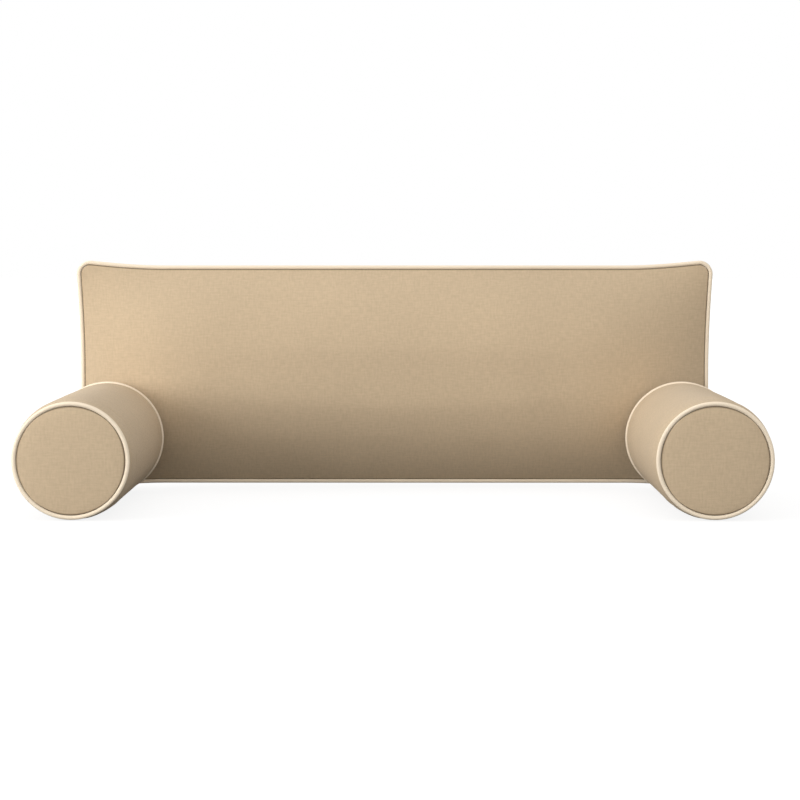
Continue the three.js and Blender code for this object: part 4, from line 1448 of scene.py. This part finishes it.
    def contained(self, blown: np.ndarray, most: np.ndarray) -> np.ndarray:
        """Keeps blown-up points within the bolster's full shape, and on whatever it lies on."""
        axis = np.array([self.axis_x, 0, self.axis_z])
        flat = np.array([1, 0, 1])
        reach = np.linalg.norm((blown - axis) * flat, axis=1)
        limit = np.linalg.norm((most - axis) * flat, axis=1)
        scale = np.minimum(1, limit / np.maximum(reach, NEAR_ZERO))[:, None]
        out = np.where(flat, axis + (blown - axis) * scale, blown)
        ends = np.abs(most[:, 1] - self.middle)
        out[:, 1] = self.middle + np.clip(out[:, 1] - self.middle, -ends - 1 * MM, ends + 1 * MM)
        out[:, 2] = np.maximum(out[:, 2], 0)
        return out

    def rim_held(self, u: np.ndarray, v: np.ndarray) -> np.ndarray:
        """An end panel is held round its rim."""
        return (np.maximum(np.abs(u), np.abs(v)) > 1 - NEAR_ZERO).astype(float)

    def near_zip(self, angle: np.ndarray) -> np.ndarray:
        """The distance round the tube from the zip's line."""
        return (self.tube_start + self.swell_height) * angle

    def tube_ring(self, angle: np.ndarray, y: float) -> np.ndarray:
        """One ring of the tube, with its cloth turned under beside the zip."""
        radius = self.tube_radius(y)
        opened = self.opening.openness(np.array(y), self.zip_place.length / 2)
        fade = np.clip((self.cloth_half - abs(y)) / CAP_REACH, 0, 1)
        off, depth = self.opening.tuck(opened)
        distance, side = np.abs(self.near_zip(angle)), np.sign(angle)
        tuck = np.isclose(distance, self.opening.seam_half, atol=MARK_SLIP)
        edge = np.isclose(distance, self.opening.half, atol=MARK_SLIP)
        target = np.where(tuck, off, np.where(edge, self.opening.edge(opened), distance))
        moved = side * np.arcsin(np.clip(target / radius, -1, 1))
        use = (tuck | edge) * fade
        sunk = use * (tuck * depth + edge * EDGE_SINK)
        return self.at(np.where(use > 0, moved * use + angle * (1 - use), angle), radius - sunk, y)

    def kept(self, angle: np.ndarray, run: np.ndarray) -> np.ndarray:
        """Which quads of the rings are there: all but those over the zip."""
        inside = np.abs(self.near_zip(closed(angle))) < self.opening.seam_half + MARK_SLIP
        over = np.abs(run) <= self.zip_place.length / 2 + JUST_OVER * self.opening.play
        gap = inside[None, :] & over[:, None]
        return ~(gap[:-1, :-1] & gap[:-1, 1:] & gap[1:, 1:] & gap[1:, :-1])

    def turned(self, profile: list[tuple[float, float]], facets: int = 48) -> Skin:
        """A closed form turned round the axis, from a profile of (radius, place along from the middle)."""
        angle = np.linspace(0, 2 * np.pi, facets, endpoint=False)
        skin = Skin()
        sections = np.stack([self.at(angle, radius, y) for radius, y in profile])
        skin.loft(sections, ring=profile[0][0] > 0)
        return skin

    def insert_pieces(self) -> None:
        """Makes the ticking bag, the batting round the foam and the foam core."""
        sleeve_low, sleeve_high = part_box(f"{self.name}_insert_sleeve")
        batting_low, batting_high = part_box(f"{self.name}_batting_wrap")
        foam_low, foam_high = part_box(f"{self.name}_foam_core")
        bag, wrap, core = ((high.x - low.x) / 2 for low, high in (
            (sleeve_low, sleeve_high), (batting_low, batting_high), (foam_low, foam_high)))
        long, short = (foam_high.y - foam_low.y) / 2, (sleeve_high.y - sleeve_low.y) / 2
        rim = core + 1 * MM
        bag_profile = [(0.5 * rim, long + 1 * MM), (rim - 3 * MM, long + 1 * MM), (rim, long - 1 * MM),
                       (0.3 * rim + 0.7 * bag, short + 6 * MM), (bag, short)]
        wrap_profile = [(wrap - 2 * MM, short), (wrap, short - 3 * MM)]
        core_profile = [(0.5 * core, long), (core - 3 * MM, long), (core, long - 3 * MM)]
        under = [(core + 0.6 * MM, -short), (core + 0.6 * MM, short)]
        for name, profile, finish, slot, node in (
            ("insert_bag", [(0, long + 1 * MM), *mirrored(bag_profile), (0, -long - 1 * MM)], TICKING,
             Slot.TICKING, "insert_sleeve"),
            ("batting_roll", mirrored(wrap_profile) + under, FIBRE, Slot.BATTING, "batting_wrap"),
            ("foam_roll", [(0, long), *mirrored(core_profile), (0, -long)], FOAM, Slot.FOAM, "foam_core"),
        ):
            full = f"{self.name}_{name}"
            piece = dressed(full, self.turned(profile).mesh(full), finish, self.name, slot,
                            (f"{self.name}_{node}",))

    def build(self) -> None:
        """Makes the cover, its piping rings, its zip with topstitching, and the insert."""
        full = f"{self.name}_cover"
        cover = dressed(full, self.cover().mesh(full), CANVAS, self.name, Slot.COVER, tuple(
            f"{self.name}_{panel}" for panel in ("tube_panel", "front_end_panel", "rear_end_panel")))
        add_thickness(cover, self.cloth)
        add_subdivision(cover)
        angle = np.linspace(0, 2 * np.pi, 120, endpoint=False)
        outward = np.stack([np.cos(angle), 0 * angle, np.sin(angle)], axis=1)
        for end, y, fuller in (("front", self.front, 0.0), ("rear", self.rear, self.rear_fullness)):
            rail = np.array([self.axis_x, y, self.axis_z]) + (self.seam_radius + fuller) * outward
            rail[:, 2] = np.maximum(rail[:, 2], self.piping.radius)
            self.piping.pieces(f"{full}_{end}_piping", f"{self.name}_{end}", self.name, rail, outward)
        self.insert_pieces()
        Zip(self.zip_place).build()
        half = self.zip_place.length / 2 + STITCH_BEYOND
        along = spread(-half, half, STITCH_STEP)
        rows = []
        for off in (-STITCH_OFF, STITCH_OFF):
            turn = off / (self.tube_start + self.swell_height)
            points = self.at(np.full_like(along, turn), self.tube_radius(along), along)
            normal = np.array([self.flank.value * math.cos(turn), 0, math.sin(turn)])
            rows.append((points, np.tile(normal, (len(along), 1))))
        name = f"{self.name}_zip_topstitching"
        dressed(name, Stitching().skin(rows).mesh(name), THREAD, self.name, Slot.COVER)


# ---- Studio ----


@dataclass(frozen=True)
class Softbox:
    """A square area light that faces the set."""

    name: str
    place: tuple[float, float, float]
    size: float
    power: float
    aim: tuple[float, float, float] = (0.0, 0.0, 0.2)
    tint: Colour = (1.0, 1.0, 1.0)

    def build(self) -> None:
        """Puts the light in the studio."""
        light = bpy.data.lights.new(self.name, "AREA")
        light.size, light.energy, light.color = self.size, self.power, self.tint
        holder = bpy.data.objects.new(self.name, light)
        bpy.context.collection.objects.link(holder)
        holder.location = self.place
        holder.rotation_euler = (Vector(self.aim) - Vector(self.place)).to_track_quat("-Z", "Y").to_euler()


@dataclass
class Studio:
    """A pale floor, soft light and the camera."""

    camera_place: tuple[float, float, float] = (0.0239, -5.212, 0.4649)
    camera_pitch: float = -3.04
    camera_yaw: float = 0.14
    lens: float = 127.3
    sensor: float = 36.0
    floor_half: float = 40.0
    floor_tone: float = 0.2
    floor_seen: float = 0.86
    floor_near: float = 1.0
    floor_far: float = 6.0
    lights: tuple[Softbox, ...] = (
        Softbox("key", (-3.4, -2.6, 0.7), 1.6, 64.0),
        Softbox("front", (-0.8, -5.0, 0.5), 1.6, 37.0),
        Softbox("left", (-3.4, -0.4, 1.2), 1.6, 35.0),
        Softbox("right", (3.0, -3.2, 1.6), 1.6, 6.0),
    )
    ambience: float = 0.81

    def build(self) -> None:
        """Makes everything that isn't the set itself."""
        self.floor()
        self.world()
        for light in self.lights:
            light.build()
        self.camera()
        bpy.context.scene.view_settings.view_transform = "Standard"

    def floor(self) -> None:
        """A plain pale floor, lit from within a little where it is seen, so that it stays pale."""
        skin = Skin()
        stops = spread(-self.floor_half, self.floor_half, self.floor_half / 4)
        x, y = np.meshgrid(stops, stops)
        skin.quads(skin.add(np.stack([x, y, 0 * x - FLOOR_DROP], axis=-1)), np.stack([x, y], axis=-1))
        mesh = skin.mesh("floor")
        floor = bpy.data.objects.new("floor", mesh)
        bpy.context.collection.objects.link(floor)
        material = bpy.data.materials.new("pale floor")
        material.use_nodes = True
        tree = Tree(material.node_tree)
        shader = material.node_tree.nodes["Principled BSDF"]
        seen = tree.node("LightPath").outputs["Is Camera Ray"]
        shader.inputs["Base Color"].default_value = (self.floor_tone, self.floor_tone, self.floor_tone, 1.0)
        shader.inputs["Roughness"].default_value = 1.0
        shader.inputs["Specular IOR Level"].default_value = 0.0
        shader.inputs["Emission Color"].default_value = (1, 1, 1, 1)
        place = tree.node("TexCoord").outputs["Object"]
        away = tree.node("VectorMath", {0: place}, operation="LENGTH").outputs["Value"]
        glow = tree.ranged(away, self.floor_near, self.floor_far, self.floor_seen, 1.0)
        tree.give(shader.inputs["Emission Strength"], tree.maths("MULTIPLY", seen, glow))
        mesh.materials.append(material)
        floor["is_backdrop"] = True

    def world(self) -> None:
        """White where it is seen, and dimmer where it only lights the set."""
        world = bpy.data.worlds.new("studio")
        world.use_nodes = True
        bpy.context.scene.world = world
        tree = Tree(world.node_tree)
        background = world.node_tree.nodes["Background"]
        seen = tree.node("LightPath").outputs["Is Camera Ray"]
        tree.give(background.inputs["Strength"], tree.ranged(seen, 0.0, 1.0, self.ambience, 1.0))
        background.inputs["Color"].default_value = (1, 1, 1, 1)

    def camera(self) -> None:
        """The camera stands in front, a little above the set."""
        data = bpy.data.cameras.new("camera")
        data.lens, data.sensor_width = self.lens, self.sensor
        camera = bpy.data.objects.new("camera", data)
        bpy.context.collection.objects.link(camera)
        camera.location = self.camera_place
        camera.rotation_euler = (math.radians(90 + self.camera_pitch), 0, math.radians(self.camera_yaw))
        bpy.context.scene.camera = camera


def main() -> None:
    """Builds the set piece by piece, then the studio."""
    logging.basicConfig(level=logging.INFO, format="%(name)s: %(message)s")
    BackCushion().build()
    for flank in Flank:
        Bolster(flank).build()
    Studio().build()
    as_numbers = lambda box: [[float(n) for n in corner] for corner in box]
    {"cad": as_numbers(CAD_BOX), "visual": as_numbers(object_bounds())}


if __name__ == "__main__":
    main()
